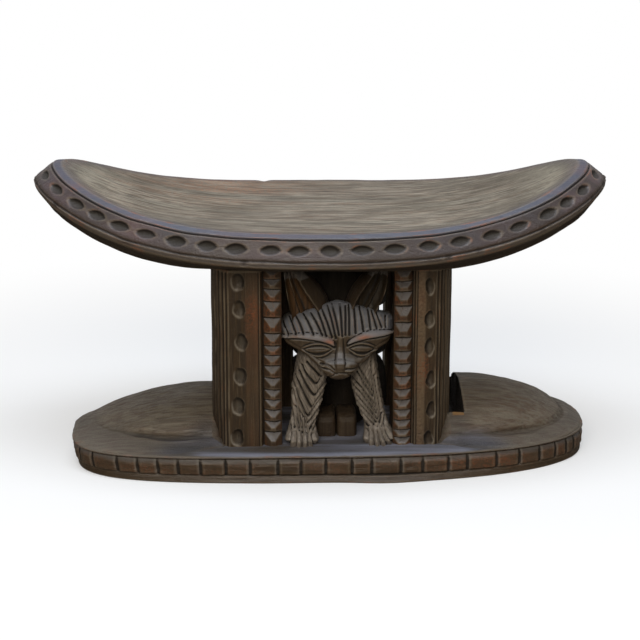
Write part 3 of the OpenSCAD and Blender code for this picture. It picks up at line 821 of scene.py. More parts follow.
# Grooves down the outer edge: places in the plan and depths
EDGE_GROOVES = ((14.9, 0.9, 1.5), (11.6, 3.4, 1.0), (7.6, 8.2, 1.5), (4.6, 14.6, 1.1),
                (2.2, 21, 1.2), (0.6, 26, 0.9))
# Places in the plan of the pale lines between the grooves
EDGE_LINES = ((17.6, 0), (13.2, 2.0), (9.4, 5.6), (4.0, 16.4))
# A notch from its top down: shares of its height, and how deep it is there
NOTCH_AT, NOTCH_DEEP = (0, 0.05, 0.56, 0.62, 0.93, 1.0), (1, 1, 0.0, 0.0, 0.06, 0.95)
# Each post: width, notches, dimples and their width, the rail's flat crest, which way its width
# and its depth run, the seed of its wear, and how fine its skin is
POSTS = (
    ("front_left_post", 69, LEFT_NOTCHES, LEFT_DIMPLES, 12.3, 3.6, 1, 1, 60, 1.0),
    ("front_right_post", 58, RIGHT_NOTCHES, RIGHT_DIMPLES, 9.0, 6.8, -1, 1, 70, 1.0),
    ("rear_left_post", 82, EVEN_NOTCHES, EVEN_DIMPLES, 12.0, 4.0, 1, -1, 80, 0.9),
    ("rear_right_post", 58, EVEN_NOTCHES, EVEN_DIMPLES, 9.0, 6.0, -1, -1, 90, 0.9))


def post_points(w, s, notches, dimples, wide, crest, seed, fine):
    """A post's skin: x from its outer face inwards, y back from its front face"""
    depth = s.depth
    bevel = (17.8 - crest) / 2
    # The plan from the inner rear corner round the front, and how closely it is sampled
    plan = [(w, depth), (w, 8), (w - 0.3, 5.2), (w - bevel, 0), (w - 21, 0), (17.5, 0),
            (15.5, 0.6), (10.5, 4.4), (6.2, 11), (3, 19), (0.4, 27), (0, 31), (0, depth)]
    weights = [0.35, 1, 1.25, 1.25, 1.25, 1, 1, 1, 1, 0.9, 0.9, 0.6, 0.35]
    ring, density = [], []
    for a, b, share in zip(plan, plan[1:] + plan[:1], weights):
        n = max(2, int(np.hypot(b[0] - a[0], b[1] - a[1]) / 0.25))
        for k in range(n):
            ring.append(lerp(np.array(a, float), np.array(b, float), k / n))
            density.append(share)
    ring = np.array(ring + [ring[0]])
    run = run_of(ring)
    weight = np.concatenate([[0], np.cumsum(np.diff(run) * np.array(density))])
    cols = int(250 * fine)
    at = np.interp(np.linspace(0, weight[-1], cols + 1), weight, run)
    x = np.interp(at, run, ring[:, 0])
    y = np.interp(at, run, ring[:, 1])
    p = grid(x[None], y[None], np.linspace(POST_LOW, POST_TOP, cols)[:, None])
    x, y = p[..., 0].copy(), p[..., 1].copy()
    # What belongs to the front face, and to its flat part
    face = np.clip((w + 0.5 - x) / 1.0, 0, 1) * (y < 24) * (x > 9)
    flat = face * (x > 15.4) * (y < 2.5)
    q = lumps(p, (7, 7, 40), seed)
    slow = lumps(p, (30, 30, 55), seed + 1)
    inward = np.zeros(p.shape[:2])

    def off_line(px, py):
        """Distance from a wavering line up the post, given near its place in the plan"""
        k = np.hypot(ring[:, 0] - px, ring[:, 1] - py).argmin()
        return np.abs(at + 0.5 * q + 0.3 * slow - run[k])

    # Notched rail: a chamfered bar, cut by sloping notches
    rail_low = w - 18.2
    in_rail = (x > rail_low - 0.5) & (y < 7)
    chamfer = 5.0 / bevel * np.clip(bevel - (x - rail_low), 0, bevel)
    marks = np.array(notches)
    pitch = np.diff(np.concatenate([[marks[0] + (marks[0] - marks[1])], marks]))
    tops = marks + 0.3 * np.abs(pitch)
    tooth, upper = np.zeros(p.shape[:2]), np.zeros(p.shape[:2])
    zz = p[..., 2] + 0.5 * lumps(p, (9, 50, 30), seed + 2)
    for k, top in enumerate(tops):
        low = tops[k + 1] if k + 1 < len(tops) else POST_LOW - 0.5
        f = (top - zz) / (top - low)
        inside = (f >= 0) & (f < 1)
        tooth = np.where(inside, np.interp(f, NOTCH_AT, NOTCH_DEEP), tooth)
        upper = np.where(inside, f < 0.6, upper)
    inward += in_rail * (np.maximum(chamfer, s.notch * tooth - 0.9 * y) + 0.2 * chamfer * tooth)
    # Grooves beside the rail
    for at_x, deep, half in ((w - 19.4, 3.6, 1.5), (w - 22.6, 0.8, 0.9)):
        inward += flat * deep * vee(np.abs(x + 0.35 * q - at_x), half)
    # Grooves down the outer edge
    groove = np.zeros(p.shape[:2])
    for px, py, deep in EDGE_GROOVES:
        groove += 1.25 * deep * (0.75 + 0.35 * q) * vee(off_line(px, py), 1.6)
    # Dimples: ovals that are deepest on their inner upper side, marked for painted shade there and
    # a painted highlight on the lower outer rim
    dimple, shade, light = (np.zeros(p.shape[:2]) for _ in range(3))
    for dx, dz in dimples:
        a = (x - dx + 0.9 * lumps(p, (9, 9, 6), seed + 11)) / (wide / 2)
        b = (p[..., 2] - dz + 1.1 * lumps(p, (5, 9, 9), seed + 12)) / DIMPLE_HALF_H
        within = 1 - np.abs(a) ** 2.1 - np.abs(b) ** 1.9
        hollow = np.clip(within, 0, 1) ** 0.7
        dimple = np.maximum(dimple, hollow * (1 + 0.4 * np.clip(a, -1, 1)
                                              + 0.25 * np.clip(b, -1, 1)))
        toward = 0.75 * a + 0.6 * b
        shade = np.maximum(shade, np.exp(-((within - 0.12) / 0.3) ** 2) * step(-0.2, 0.5, toward))
        light = np.maximum(light, np.exp(-((within - 0.1) / 0.28) ** 2) * step(0.1, 0.7, -toward))
    inward += face * (y < 8) * s.dimple * dimple
    # Chatter marks across the flat strip
    side = np.mean(dimples, 0)[0] + wide / 2
    strip = flat * step(side - 1, side + 2, x) * (1 - step(w - 24, w - 22, x))
    inward += strip * (0.4 if w < 60 else 0.16) * np.abs(lumps(p, (8, 20, 1.4), seed + 4))
    inward += strip * 0.25 * step(-0.2, 0.5, slow)
    # The outer side is hewn by hand and wavers
    hewn = (1 - step(8, 20, x)) * (0.9 * lumps(p, (40, 40, 34), seed + 8) + 0.3 * q)
    inward -= 0.35 * slow + 0.15 * q + 0.1 * lumps(p, (3, 3, 9), seed + 6)
    inward += np.clip(hewn + 0.5, -0.2, 2)
    lines = np.zeros(p.shape[:2])
    for px, py in EDGE_LINES:
        lines = np.maximum(lines, vee(off_line(px, py), 1.0))
    lines *= step(-0.5, 0.3, lumps(p, (6, 6, 13), seed + 9))
    # The plan runs clockwise, so a positive push cuts in
    p = push(p, soften(inward + groove * (1 - flat * (x > 16.5))))
    # Close the ends inside the seat and the base
    tall = p[..., 2]
    low, high = (np.tile((w / 2, depth / 2, z), (1, cols + 1, 1)) for z in (POST_LOW, POST_TOP))
    return np.concatenate([low, p, high]), {key: padded(mask) for key, mask in (
        ("strip", strip), ("rail", in_rail * (1 - tooth)), ("lines", lines),
        # The notches' up-facing facets, which take a painted highlight
        ("facet", in_rail * upper * step(0.0, 0.35, s.notch * tooth - np.maximum(chamfer, y))
         * (1 - step(0.93, 0.99, tooth))),
        ("dimple", face * (y < 8) * dimple), ("dimple_dark", face * (y < 8) * shade),
        ("dimple_lit", face * (y < 8) * light),
        ("scored", (strip + 0.55 * (1 - face) * (x < 20)) * (w < 60)),
        ("worn", face * np.exp(-((x - w + 28.5) / 5.5) ** 2
                               - ((tall - (160 if w > 60 else 104)) / 17) ** 2)))}


class STOOL_OT_posts(bpy.types.Operator):
    """Carve the four corner posts with grooves, dimples and notched rails"""
    bl_idname = "stool.posts"
    bl_label = "Posts"

    def execute(self, context):
        s = context.scene.stool_posts
        half = s.span / 2
        for name, w, notches, dimples, wide, crest, sx, sy, seed, fine in POSTS:
            p, masks = post_points(w, s, notches, dimples, wide, crest, seed, fine)
            p = np.stack([sx * (p[..., 0] - half), sy * (p[..., 1] - s.face_y), p[..., 2]], -1)
            finish_piece(skin("carved_" + name, askew(p), masks),
                         [name], "Post wood", 8)
        return {"FINISHED"}


# Cat

# By height: the face's half widths to its left and right, and how far its cheeks and its front
# are set back
FACE_Z = (97, 98.5, 101, 104, 107, 110, 113, 117, 122, 128, 133, 138, 143, 150, 155, 159, 164,
          168, 172, 175, 177)
FACE_LEFT = (3, 8, 12, 15.5, 18, 20, 24, 30.5, 38.5, 48.5, 54, 56, 55.5, 50.5, 46.5, 42,
             35, 29, 20, 10, 3)
FACE_RIGHT = (3, 7, 11, 15, 18, 21, 27, 33, 38.5, 48, 53.5, 55, 55, 54.5, 52, 48.5, 43, 36, 23,
              11, 3)
CHEEK_Y = (4, 4.3, 4.8, 5.6, 6.8, 8, 9.4, 12, 17, 23, 28, 32, 34, 35.5, 36, 36, 36, 36, 36.5, 37,
           38)
FACE_BACK = (6, 3, 1.2, 0.4, 0.2, 0.8, 2.4, 4.6, 7, 8, 8, 8, 8.2, 9, 10, 12, 15.5, 19, 22.5, 26,
             30)
# Grooves of the hair, each from its top down, as places across the face and heights
HAIR = (((-52, 145.4), (-47.4, 137.4)), ((-45.8, 152.5), (-40.5, 139.4)),
        ((-39.7, 156.1), (-33.3, 140.6)), ((-31.3, 157.3), (-23.7, 140.6)),
        ((-24.1, 158.5), (-15.3, 139.8)), ((-19.1, 163.6), (-11.5, 139.0)),
        ((-14.6, 164.8), (-5.8, 137.4)), ((-8.5, 165.2), (-2.3, 136.6)),
        ((-5.5, 173.1), (0.7, 139.8)), ((2.1, 173.1), (3.8, 139.0)),
        ((7.4, 170.8), (6.8, 139.8)), ((10.5, 166.0), (10.6, 139.8)),
        ((15.8, 166.0), (16.7, 141.4)), ((21.5, 165.2), (24.3, 143.4)),
        ((29.5, 162.9), (31.2, 144.6)), ((33.4, 161.3), (37.3, 145.0)),
        ((37.9, 159.7), (42.3, 145.4)), ((46.4, 154.1), (46.5, 144.6)))
# The brows' upper and lower edges
BROW_TOPS = (((-53, 137), (-42.2, 140.2), (-30.1, 142.4), (-14.9, 140.8), (-5.7, 135.5),
              (-2.7, 131.1)),
             ((8.5, 131.5), (12.5, 136.6), (20.1, 140.6), (30.7, 143.6), (45.9, 142.6),
              (53, 139)))
BROW_LOWS = (((-53, 133), (-40.0, 136.2), (-22.5, 135.1), (-11.8, 132.3), (-3.8, 128.7)),
             ((8.9, 130.2), (19.4, 133.9), (30.8, 136.2), (53, 137.5)))
# Eyes: middle, height, half width, half height and tilt
EYES = ((-20.5, 124.9, 15.8, 6.3, 0.06), (23.6, 125.0, 14.4, 6.2, -0.1))
# Lines from the cheeks to the muzzle, the whiskers and the mouth
JAWS = (((-53, 132), (-44, 125.6), (-35.3, 120.6), (-23.9, 113.6), (-14.7, 110.6)),
        ((53, 131), (45, 126.8), (38.0, 122.8), (31.2, 116.0), (23.6, 110.6)))
WHISKERS = (((-17.4, 112.6), (-10.5, 112.0), (-4.4, 107.6)), ((-17.6, 109.0), (-9.0, 108.0),
            (-3.4, 104.8)), ((-16.1, 105.2), (-8.4, 101.9)), ((7.0, 108.2), (15.4, 108.4),
            (20.0, 110.4)), ((6.3, 105.0), (15.4, 104.4), (19.8, 106.4)))
MOUTH = ((-9, 99.8), (-3.4, 103.6), (1.7, 105.2), (6.5, 104.2), (14, 100.6))
# By height: the nose's half width, its middle, and how far it stands out
NOSE_HALF = (105, 107.5, 112, 120, 132, 142), (0.6, 3.4, 4.6, 3.6, 2.4, 1.6)
NOSE_MIDDLE = (104, 112, 142), (1.6, 1.4, 2.2)
NOSE_TALL = (103.0, 107.5, 111.5, 116, 128, 138, 144), (0, 1.2, 4.0, 3.8, 2.6, 1.4, 0)
# Across the face: the height over which the hair's grooves grow shallow
HAIR_FADE = (-50, -20, 3, 25, 48), (148, 158, 168, 160, 152)
# Columns and rows of the head's skin
HEAD_COLS, HEAD_ROWS = 380, 225


def head_points(s, posts):
    """The head: a stack of rings, carved on its front in face widths a and heights h"""
    rear = -posts.face_y + 50
    # Even columns over the face, and fewer over the back of the head
    power = 2 / 3.0
    fine = np.linspace(0, 1, 8001)
    c, n = np.cos((0.5 + fine) * math.tau), np.sin((0.5 + fine) * math.tau)
    outline = np.stack([s.face_w * np.sign(c) * np.abs(c) ** power,
                        26 * np.sign(n) * np.abs(n) ** power], -1)
    spread = np.diff(run_of(outline)) * np.where(n[1:] < 0, 1, 0.35)
    spread = np.concatenate([[0], np.cumsum(spread)])
    turn = 0.5 + np.interp(np.linspace(0, spread[-1], HEAD_COLS + 1), spread, fine)
    v = np.linspace(0, 1, HEAD_ROWS + 1)[:, None]
    # Closer steps over the crown and chin, where the rings shrink quickly
    h = s.chin_z + (s.crown_z - s.chin_z) * (v - 0.055 * np.sin(v * math.tau))
    c, n = np.cos(turn * math.tau), np.sin(turn * math.tau)
    fall = 0.33 * step(146, 172, h)
    wide = np.where(c < 0, np.interp(h, FACE_Z, FACE_LEFT), np.interp(h, FACE_Z, FACE_RIGHT))
    front = -posts.face_y - 12 + np.interp(h, FACE_Z, FACE_BACK)
    a = wide * np.sign(c) * np.abs(c) ** power
    q = np.sign(n) * np.abs(n) ** power
    cheek = -posts.face_y + np.interp(h, FACE_Z, CHEEK_Y)
    y = cheek + q * np.where(q < 0, cheek - front, rear - cheek)
    p = grid(a, y, h)
    a, h = p[..., 0].copy(), p[..., 2].copy()
    # The crown slopes down to the back
    p[..., 2] -= fall * (y + posts.face_y + 6)
    on_face = step(0.12, 0.45, -q)
    carve = np.zeros(a.shape)

    # Hair: ridges that fan from the crown to the brows, the outer ones on up to the ears
    locks = [(lerp(np.array(low), np.array(top), 1.22 if top[1] < 167 else 1.0), low)
             for top, low in HAIR]
    hair = gouge(cuts(a, h, locks, 1.35, smooth=False))
    hair *= 1 - 0.55 * step(0, 8, h - np.interp(a, *HAIR_FADE))
    carve -= s.hair * hair
    # Brows: raised bands with a flat top and a sharp lower edge
    brow = np.zeros(a.shape)
    for top, low in zip(BROW_TOPS, BROW_LOWS):
        top, low = np.array(curve(top)), np.array(curve(low))
        zt = np.interp(a, top[:, 0], top[:, 1], left=0, right=0)
        zl = np.interp(a, low[:, 0], low[:, 1], left=0, right=0)
        width = np.maximum(zt - zl, 1.0)
        f = (h - zl) / width
        band = step(-0.2, 0.12, f) * (1 - step(0.35, 1.15, f) * 0.75) * (1 - step(1.15, 1.5, f))
        band *= (a >= max(top[0, 0], low[0, 0])) & (a <= min(top[-1, 0], low[-1, 0]))
        brow = np.maximum(brow, band)
        carve -= 0.9 * vee(off_path(a, h, top), 1.4)
        carve -= 1.3 * vee(off_path(a, h, low - (0, 1.2)), 1.7)
    carve += 3.0 * brow
    # Eyes: sunk sockets, a lid all round, and the ball with its slit
    for ex, ez, ew, eh, tilt in EYES:
        da, dh = a - ex, h - ez - tilt * (a - ex)
        lens = np.maximum(1 - np.abs(da / ew) ** 2.0, 0.0)
        k = np.abs(dh) / (eh * lens + 0.35)
        socket = np.exp(-(da / (ew * 1.15)) ** 4 - (dh / (eh * 1.5)) ** 4)
        inside = np.abs(da) < ew * 1.02
        carve -= 2.2 * socket
        carve += 2.1 * ridge(np.abs(k - 0.86), 0.22) * inside
        ball = np.clip(1 - (k / 0.5) ** 2 - (da / (ew * 0.8)) ** 4, 0, 1) ** 0.6
        carve += 2.0 * ball * inside
        carve -= 0.7 * vee(np.abs(dh), 0.7) * (np.abs(da) < ew * 0.55)
    # Lines that follow the jaw from the cheeks to the muzzle
    for jaw in JAWS:
        d = off_path(a, h, curve(jaw))
        carve += 1.3 * ridge(d, 2.2)
        carve -= 1.0 * vee(off_path(a, h, curve([(x, z + 3.4) for x, z in jaw])), 1.5)
    # Nose: a flat-topped bridge that widens to its tip
    off_nose = np.abs(a - np.interp(h, *NOSE_MIDDLE))
    bridge = step(0, 1, (np.interp(h, *NOSE_HALF) + 1.0 - off_nose) / 2.4)
    # Muzzle: a low dome with whisker lines and a curled mouth
    muzzle = np.clip(1 - ((a - 1.5) / 20.5) ** 2 - ((h - 106.5) / 9.5) ** 2, 0, 1) ** 0.55
    carve += 2.6 * muzzle
    cheeks = ridge(np.hypot((np.abs(a - 1.5) - 10.5) / 1.25, h - 115.4), 6.2)
    carve += 1.8 * cheeks
    carve += np.interp(h, *NOSE_TALL) * bridge
    plug = bridge * step(107, 110, h)
    carve -= 1.6 * gouge(cuts(a, h, WHISKERS, 1.3)) * (1 - plug)
    carve -= 1.5 * vee(off_path(a, h, curve(MOUTH)), 1.3) * (1 - plug)
    # Pale facets beside the nose, coloured with a painted sheen
    beside = np.abs(a - 1.4)
    facet = step(3.6, 5.0, beside) * (1 - step(12.5, 15.0, beside))
    facet *= step(111, 113.5, h) * (1 - step(118.5, 121.5, h + 0.22 * beside))
    carve += 0.35 * lumps(p, (16, 16, 16), 101) + 0.15 * lumps(p, (5, 5, 5), 103)
    p = push(p, soften(carve * on_face))
    return capped(p + (s.x, 0, 0)), {key: padded(mask) for key, mask in (
        ("brow", brow * on_face), ("nose", bridge * step(111, 113, h) * (1 - step(121, 126, h))),
        ("facet", facet * on_face),
        ("worn", brow * on_face * (np.exp(-((a + 7.5) / 6.5) ** 2) * vee(np.abs(h - 133.5), 5)
                                   + np.exp(-((a - 24) / 7) ** 2) * vee(np.abs(h - 137.5), 4))),
        ("hair_zone", step(138, 142, h) * on_face))}


# Height, then outer edge, rib, inner rim and inner side, left of the face and right of it
EAR_RINGS = {
    -1: ((150, -43, -33, -16, -8), (160, -45.2, -35.6, -18.0, -8.0),
         (171, -47.2, -39.4, -25.0, -11.5), (180, -48.8, -42.4, -31.0, -17.2),
         (189, -50.2, -45.4, -36.0, -24.0), (197, -51.5, -47.4, -39.5, -31.0),
         (204, -52.4, -48.6, -41.5, -35.0)),
    1: ((150, 33, 24, 11, 7), (160, 36.5, 26.5, 13.0, 8.0), (171, 42.4, 32.0, 17.5, 11.5),
        (180, 45.2, 36.5, 22.8, 16.2), (189, 46.8, 40.0, 29.0, 22.8),
        (197, 47.2, 42.0, 34.0, 30.0), (204, 47.6, 43.4, 37.5, 34.5)),
}
# Rows and columns of an ear's skin, and the heights from which the tips are bevelled
EAR_ROWS, EAR_COLS = 110, 150
LEFT_TIP, RIGHT_TIP = 191.0, 194.5


class STOOL_OT_head(bpy.types.Operator):
    """Carve the cat's face with its hair, brows, eyes and muzzle, and its two ears"""
    bl_idname = "stool.head"
    bl_label = "Head and ears"

    def execute(self, context):
        s, posts = context.scene.stool_cat, context.scene.stool_posts
        p, masks = head_points(s, posts)
        finish_piece(skin("carved_head", askew(p), masks), ["head"], "Cat wood", 8)
        for side, name in ((-1, "left_ear"), (1, "right_ear")):
            p, masks = self.ear(side, s, posts)
            finish_piece(skin("carved_" + name, askew(p), masks),
                         [name], "Cat wood", 6)
        return {"FINISHED"}

    def ear(self, side, s, posts):
        """A hollow ear with a bevelled tip, from its table of heights"""
        table = np.array(EAR_RINGS[side], float)
        h = np.linspace(table[0, 0], table[-1, 0], EAR_ROWS + 1)
        outer, rib, rim, inner = (np.interp(h, table[:, 0], table[:, k]) for k in (1, 2, 3, 4))
        f = -posts.face_y
        back = f + 32
        # Front hollow, flank and back of the ear at each height
        corners = [
            (outer, f + 7), (lerp(outer, rib, 0.3), f + 13.0), (lerp(outer, rib, 0.8), f + 15.5),
            (rib, f + 12.0), (lerp(rib, rim, 0.25), f + 17.0), (lerp(rib, rim, 0.75), f + 13.5),
            (rim, f + 6.0), (lerp(rim, inner, 0.35), f + 9.5), (lerp(rim, inner, 0.8), f + 16.0),
            (inner, f + 22), (inner, back), (lerp(inner, outer, 0.5), back + 2),
            (outer, back), (outer, f + 20), (outer, f + 12)]
        knots = np.stack([grid(x, y, h) for x, y in corners], 1)
        m = len(corners)
        t = np.linspace(0, 1, EAR_COLS + 1) * m
        seg = np.minimum(t.astype(int), m - 1)
        u = (t - seg)[None, :, None]
        a, b, c, d = (knots[:, (seg + k) % m] for k in (-1, 0, 1, 2))
        p = bend(a, b, c, d, u)
        if side > 0:
            p = p[:, ::-1]
        front = step(-f - 20, -f - 14, -p[..., 1])
        # The tips are bevelled
        low = LEFT_TIP if side < 0 else RIGHT_TIP
        rise = np.clip((p[..., 2] - low) / 8, 0, 1)
        tip = step(0, 0.12, rise) * (1 - step(0.9, 1.0, rise))
        p[..., 1] = np.where(rise > 0, np.maximum(p[..., 1], f + 6 + 9 * rise), p[..., 1])
        streak = lumps(p, (2.2, 30, 22), 111 + side)
        p = push(p, (0.35 * streak * front + 0.25 * lumps(p, (10, 10, 10), 113)))
        p[..., 0] = np.clip(p[..., 0], -s.face_w, s.face_w)
        p = capped(p + (s.x, 0, 0))
        col = np.arange(EAR_COLS + 1)
        col = col if side < 0 else EAR_COLS - col
        cup = step(f + 8, f + 11, p[..., 1]) * (col < EAR_COLS * 0.42)
        # The bevelled tips get a painted highlight in the cat's wood
        return p, {"tip": padded(tip * front), "ear": 1.0,
                   "cup": cup * (side < 0), "dark_cup": cup * (side > 0)}


# The grooves of the forelegs' fur, and the gaps between the toes
LEFT_FUR = (((-30, 108), (-14.8, 92.9)),
            ((-34.8, 104.6), (-31.9, 98.4), (-20.8, 87.1), (-15.0, 93)),
            ((-37.8, 98.4), (-31.1, 86.7), (-22.3, 75.7), (-16.3, 81.2), (-8.6, 88.0)),
            ((-41.8, 93.0), (-35.6, 83.0), (-25.2, 64.0), (-20.8, 67.9), (-9.0, 82.0)),
            ((-43.5, 86.0), (-35.4, 66.2), (-29.4, 55.3), (-23.0, 61.2), (-8.6, 76.7)),
            ((-44.5, 79.3), (-39.4, 63.2), (-34.2, 54.3)),
            ((-28.8, 48.0), (-19.3, 57.5), (-9.4, 70.6)),
            ((-26.3, 42.5), (-13.3, 58.5)), ((-46.9, 72.5), (-42.7, 44.2)),
            ((-41.6, 63.2), (-37.5, 41.9)), ((-36.4, 55.1), (-34.5, 40.3)),
            ((-30.9, 54.1), (-30.4, 39.5)), ((-48.5, 62.0), (-46.5, 42.0)),
            ((-22.5, 41.0), (-17.3, 48.5)))
RIGHT_FUR = (((19.2, 103.8), (34.1, 80.4)), ((18.7, 97.3), (34.2, 74.7)),
             ((14.1, 90.0), (23.7, 81.2), (37.5, 63.4)),
             ((14.0, 83.4), (23.8, 74.7), (38.2, 57.2)),
             ((14.6, 76.2), (23.8, 67.3), (38.9, 51.6)),
             ((15.1, 69.7), (28.9, 56.9), (37.1, 48.4)),
             ((16.2, 62.8), (26.2, 52.9), (34.9, 45.8)), ((16.9, 55.9), (28.5, 44.0)),
             ((19.2, 49.0), (27.0, 39.3)), ((33.2, 107.4), (36.4, 77.3), (41.0, 53.3)),
             ((37.0, 93.4), (39.5, 77), (43.5, 58.2)), ((39.3, 106.9), (42.3, 80), (47.7, 58.2)),
             ((44.0, 56.0), (41.5, 48.0)), ((48.5, 58.0), (46, 46)))
LEFT_TOES = (((-46.4, 40.0), (-48.0, 25)), ((-40.4, 40.5), (-41.2, 25)),
             ((-34.6, 40.3), (-34.6, 25)), ((-28.8, 39.0), (-28.1, 25)),
             ((-24.6, 37.0), (-22.6, 25)))
RIGHT_TOES = (((28.5, 42.2), (29.3, 25)), ((34.0, 40.3), (35.3, 25)), ((38.9, 40.3), (42.1, 25)),
              ((43.0, 41.1), (49.0, 25)), ((47.5, 40.3), (54.0, 28)))
# Where a leg's skin starts in the base and ends behind the muzzle
LEG_LOW, LEG_TOP = 24.5, 127.0
# Rows and columns of a leg's skin
LEG_ROWS, LEG_COLS = 210, 230
# Where the shares of a leg's height count from, and the height that they count over
LEG_FOOT, LEG_SPAN = 26, 100
# Share of the height, middle, set-back, half width and half depth
LEGS = {
    -1: ((0, -34.6, -12.5, 13.6, 13.5), (0.05, -34.8, -12.5, 15.4, 14.5),
         (0.1, -34.8, -11, 15.0, 13), (0.18, -34.0, -8, 13.2, 11.5),
         (0.3, -31.2, -6, 13.6, 11.5), (0.42, -29.4, -4.5, 15.6, 12.5),
         (0.56, -27.6, -2, 17.0, 14), (0.7, -25.4, 3, 16.6, 17), (0.86, -22.6, 9, 15.6, 22),
         (1.0, -20.5, 14, 15.4, 23)),
    1: ((0, 40.6, -12.5, 13.0, 13.5), (0.05, 41.0, -12.5, 15.0, 14.5), (0.1, 40.6, -11, 14.4, 13),
        (0.18, 38.6, -8, 12.2, 11.5), (0.3, 34.2, -6, 12.6, 11.5), (0.42, 31.4, -4.5, 14.0, 12.5),
        (0.56, 28.6, -2, 14.6, 14), (0.7, 26.8, 3, 14.0, 17), (0.86, 25.0, 9, 13.6, 22),
        (1.0, 23.0, 14, 13.6, 23)),
}


class STOOL_OT_legs(bpy.types.Operator):
    """Carve the forelegs with their chevron fur and toed paws"""
    bl_idname = "stool.legs"
    bl_label = "Forelegs"

    def execute(self, context):
        s, posts = context.scene.stool_cat, context.scene.stool_posts
        for side, name, fur, toes in ((-1, "left_foreleg", LEFT_FUR, LEFT_TOES),
                                      (1, "right_foreleg", RIGHT_FUR, RIGHT_TOES)):
            table = np.array(LEGS[side], float)
            z = np.linspace(LEG_LOW, LEG_TOP, LEG_ROWS + 1)[:, None]
            f = np.clip((z - LEG_FOOT) / LEG_SPAN, 0, 1)
            t = np.linspace(0, 1, LEG_COLS + 1)
            # More columns on the front
            turn = t + 0.09 * np.sin(t * math.tau)
            cx, back, wide, deep = (np.interp(f, table[:, 0], table[:, k]) for k in (1, 2, 3, 4))
            ox, oy = oval(1.0, 1.0, 2.25, 0.25 + turn)
            a, y = cx + wide * ox, -posts.face_y + 24 + back + deep * oy
            p = grid(a, y, z)
            a, h = p[..., 0].copy(), p[..., 2].copy()
            front = step(0.25, -0.15, oy)
            carve = -s.fur * gouge(cuts(a, h, fur, 1.7)) * front * step(36, 42, h)
            # Fine hairs between the grooves
            hairs = np.abs((0.82 * (a - cx) - side * 0.57 * h + 200) % 3.4 - 1.7)
            carve -= 0.5 * vee(hairs, 0.8) * front * step(36, 46, h)
            # Toes: rounded, with gaps between them
            toe = cuts(a, h, toes, 2.2, smooth=False) * front
            carve -= 2.4 * toe * (1 - step(38, 44, h))
            carve += 1.4 * (1 - step(30, 38, h)) * front * (1 - toe)
            carve += 0.3 * lumps(p, (8, 8, 12), 121 + side) + 0.12 * lumps(p, (2.5, 3, 9), 123)
            # Fur round the sides and back, in shallow chevrons
            fold = np.abs((h + 0.9 * np.abs(y - y.mean())) % 11 - 5.5)
            carve -= 1.1 * (1 - front) * vee(fold, 1.6) * step(40, 46, h)
            p = push(p, soften(carve))
            p[..., 0] = np.clip(p[..., 0], -s.face_w - 0.6, s.face_w + 0.6)
            finish_piece(skin("carved_" + name, askew(capped(p + (s.x, 0, 0))), {"limb": 1.0}),
                         [name], "Cat wood", 6)
        return {"FINISHED"}


def body_skin(name, mid, rings, seed, groove, cols, rows, blunt=2.4):
    """A closed stack of ovals round a middle x: the rings of a table, with grooved fur"""
    table = np.array(rings) + (0, mid, 0, 0, 0)
    z = np.linspace(table[0, 0], table[-1, 0], rows + 1)[:, None]
    cx, cy, wide, deep = (np.interp(z, table[:, 0], table[:, k]) for k in (1, 2, 3, 4))
    ox, oy = oval(1.0, 1.0, blunt, np.linspace(0, 1, cols + 1))
    p = grid(cx + wide * ox, cy + deep * oy, z)
    carve = 0.5 * lumps(p, (14, 14, 18), seed) + 0.2 * lumps(p, (4, 4, 9), seed + 1)
    # Chevron fur that runs down from the spine
    fall = np.abs(p[..., 0] - cx) * 0.8
    wave = np.abs((p[..., 2] + fall + 1.5 * lumps(p, (20, 20, 20), seed + 2)) % 10.5 - 5.25)
    carve -= groove * vee(wave, 1.7) * step(-10, 14, p[..., 1] - cy)
    p = askew(capped(push(p, soften(carve))))
    return skin(name, p, {"back": step(22, 48, p[..., 1])})


# The torso, a haunch and a hind paw from the bottom up: height, shift of the middle sideways,
# middle in depth, half width and half depth
TORSO = ((25, 0, 27, 26, 47), (50, 0, 27, 29, 48), (70, 0, 25, 33, 48), (74, -5.8, 25, 43.3, 48),
         (79, -5.8, 25, 43.3, 48), (81, -3.3, 24.5, 40.8, 48), (93, -3.3, 24, 40.8, 47),
         (95, -5.8, 23, 43.3, 47), (97.5, -1.6, 22, 47.5, 47), (105, -1.6, 20.5, 47.5, 47),
         (124, -1.6, 17, 47.5, 47), (129, -5.2, 16, 43.9, 47), (146, -5.2, 13, 43.9, 47),
         (150, -1.6, 12, 47, 46), (160, -1, 10, 46, 46), (185, 0, 6, 41, 43), (205, 0, 5, 37, 41))
HAUNCH = ((25, 0, 24, 14, 22), (34, 0, 20, 18.5, 30), (46, 0, 21, 21, 33), (60, 0, 24, 21.3, 34),
          (74, 0, 25, 20.5, 31), (81, 0, 25, 17.0, 26), (86, 0, 25, 11, 17), (90, 0, 25, 4, 8))
HIND_PAW = ((25, 0, -36, 10.2, 19.0), (30, 0, -36, 10.3, 19.5), (41, 0, -36, 10.2, 19.3),
            (45.5, 0, -35, 9.6, 18), (48, 0, -34, 8, 15))
# How far the body stands to the right of the face's middle, and the haunches and the hind paws
# from the body's and the face's middle
BODY_SHIFT, LEFT_HAUNCH, RIGHT_HAUNCH, PAW_REACH = 7, -27.6, 25.6, 10.3
# The tail's path from the body's middle, and its thickness
TAIL = ((14, 72, 30), (4, 75, 40), (-3, 74, 58), (2, 70, 84), (8, 62, 108), (9, 57, 122))
TAIL_HALF = 5.6


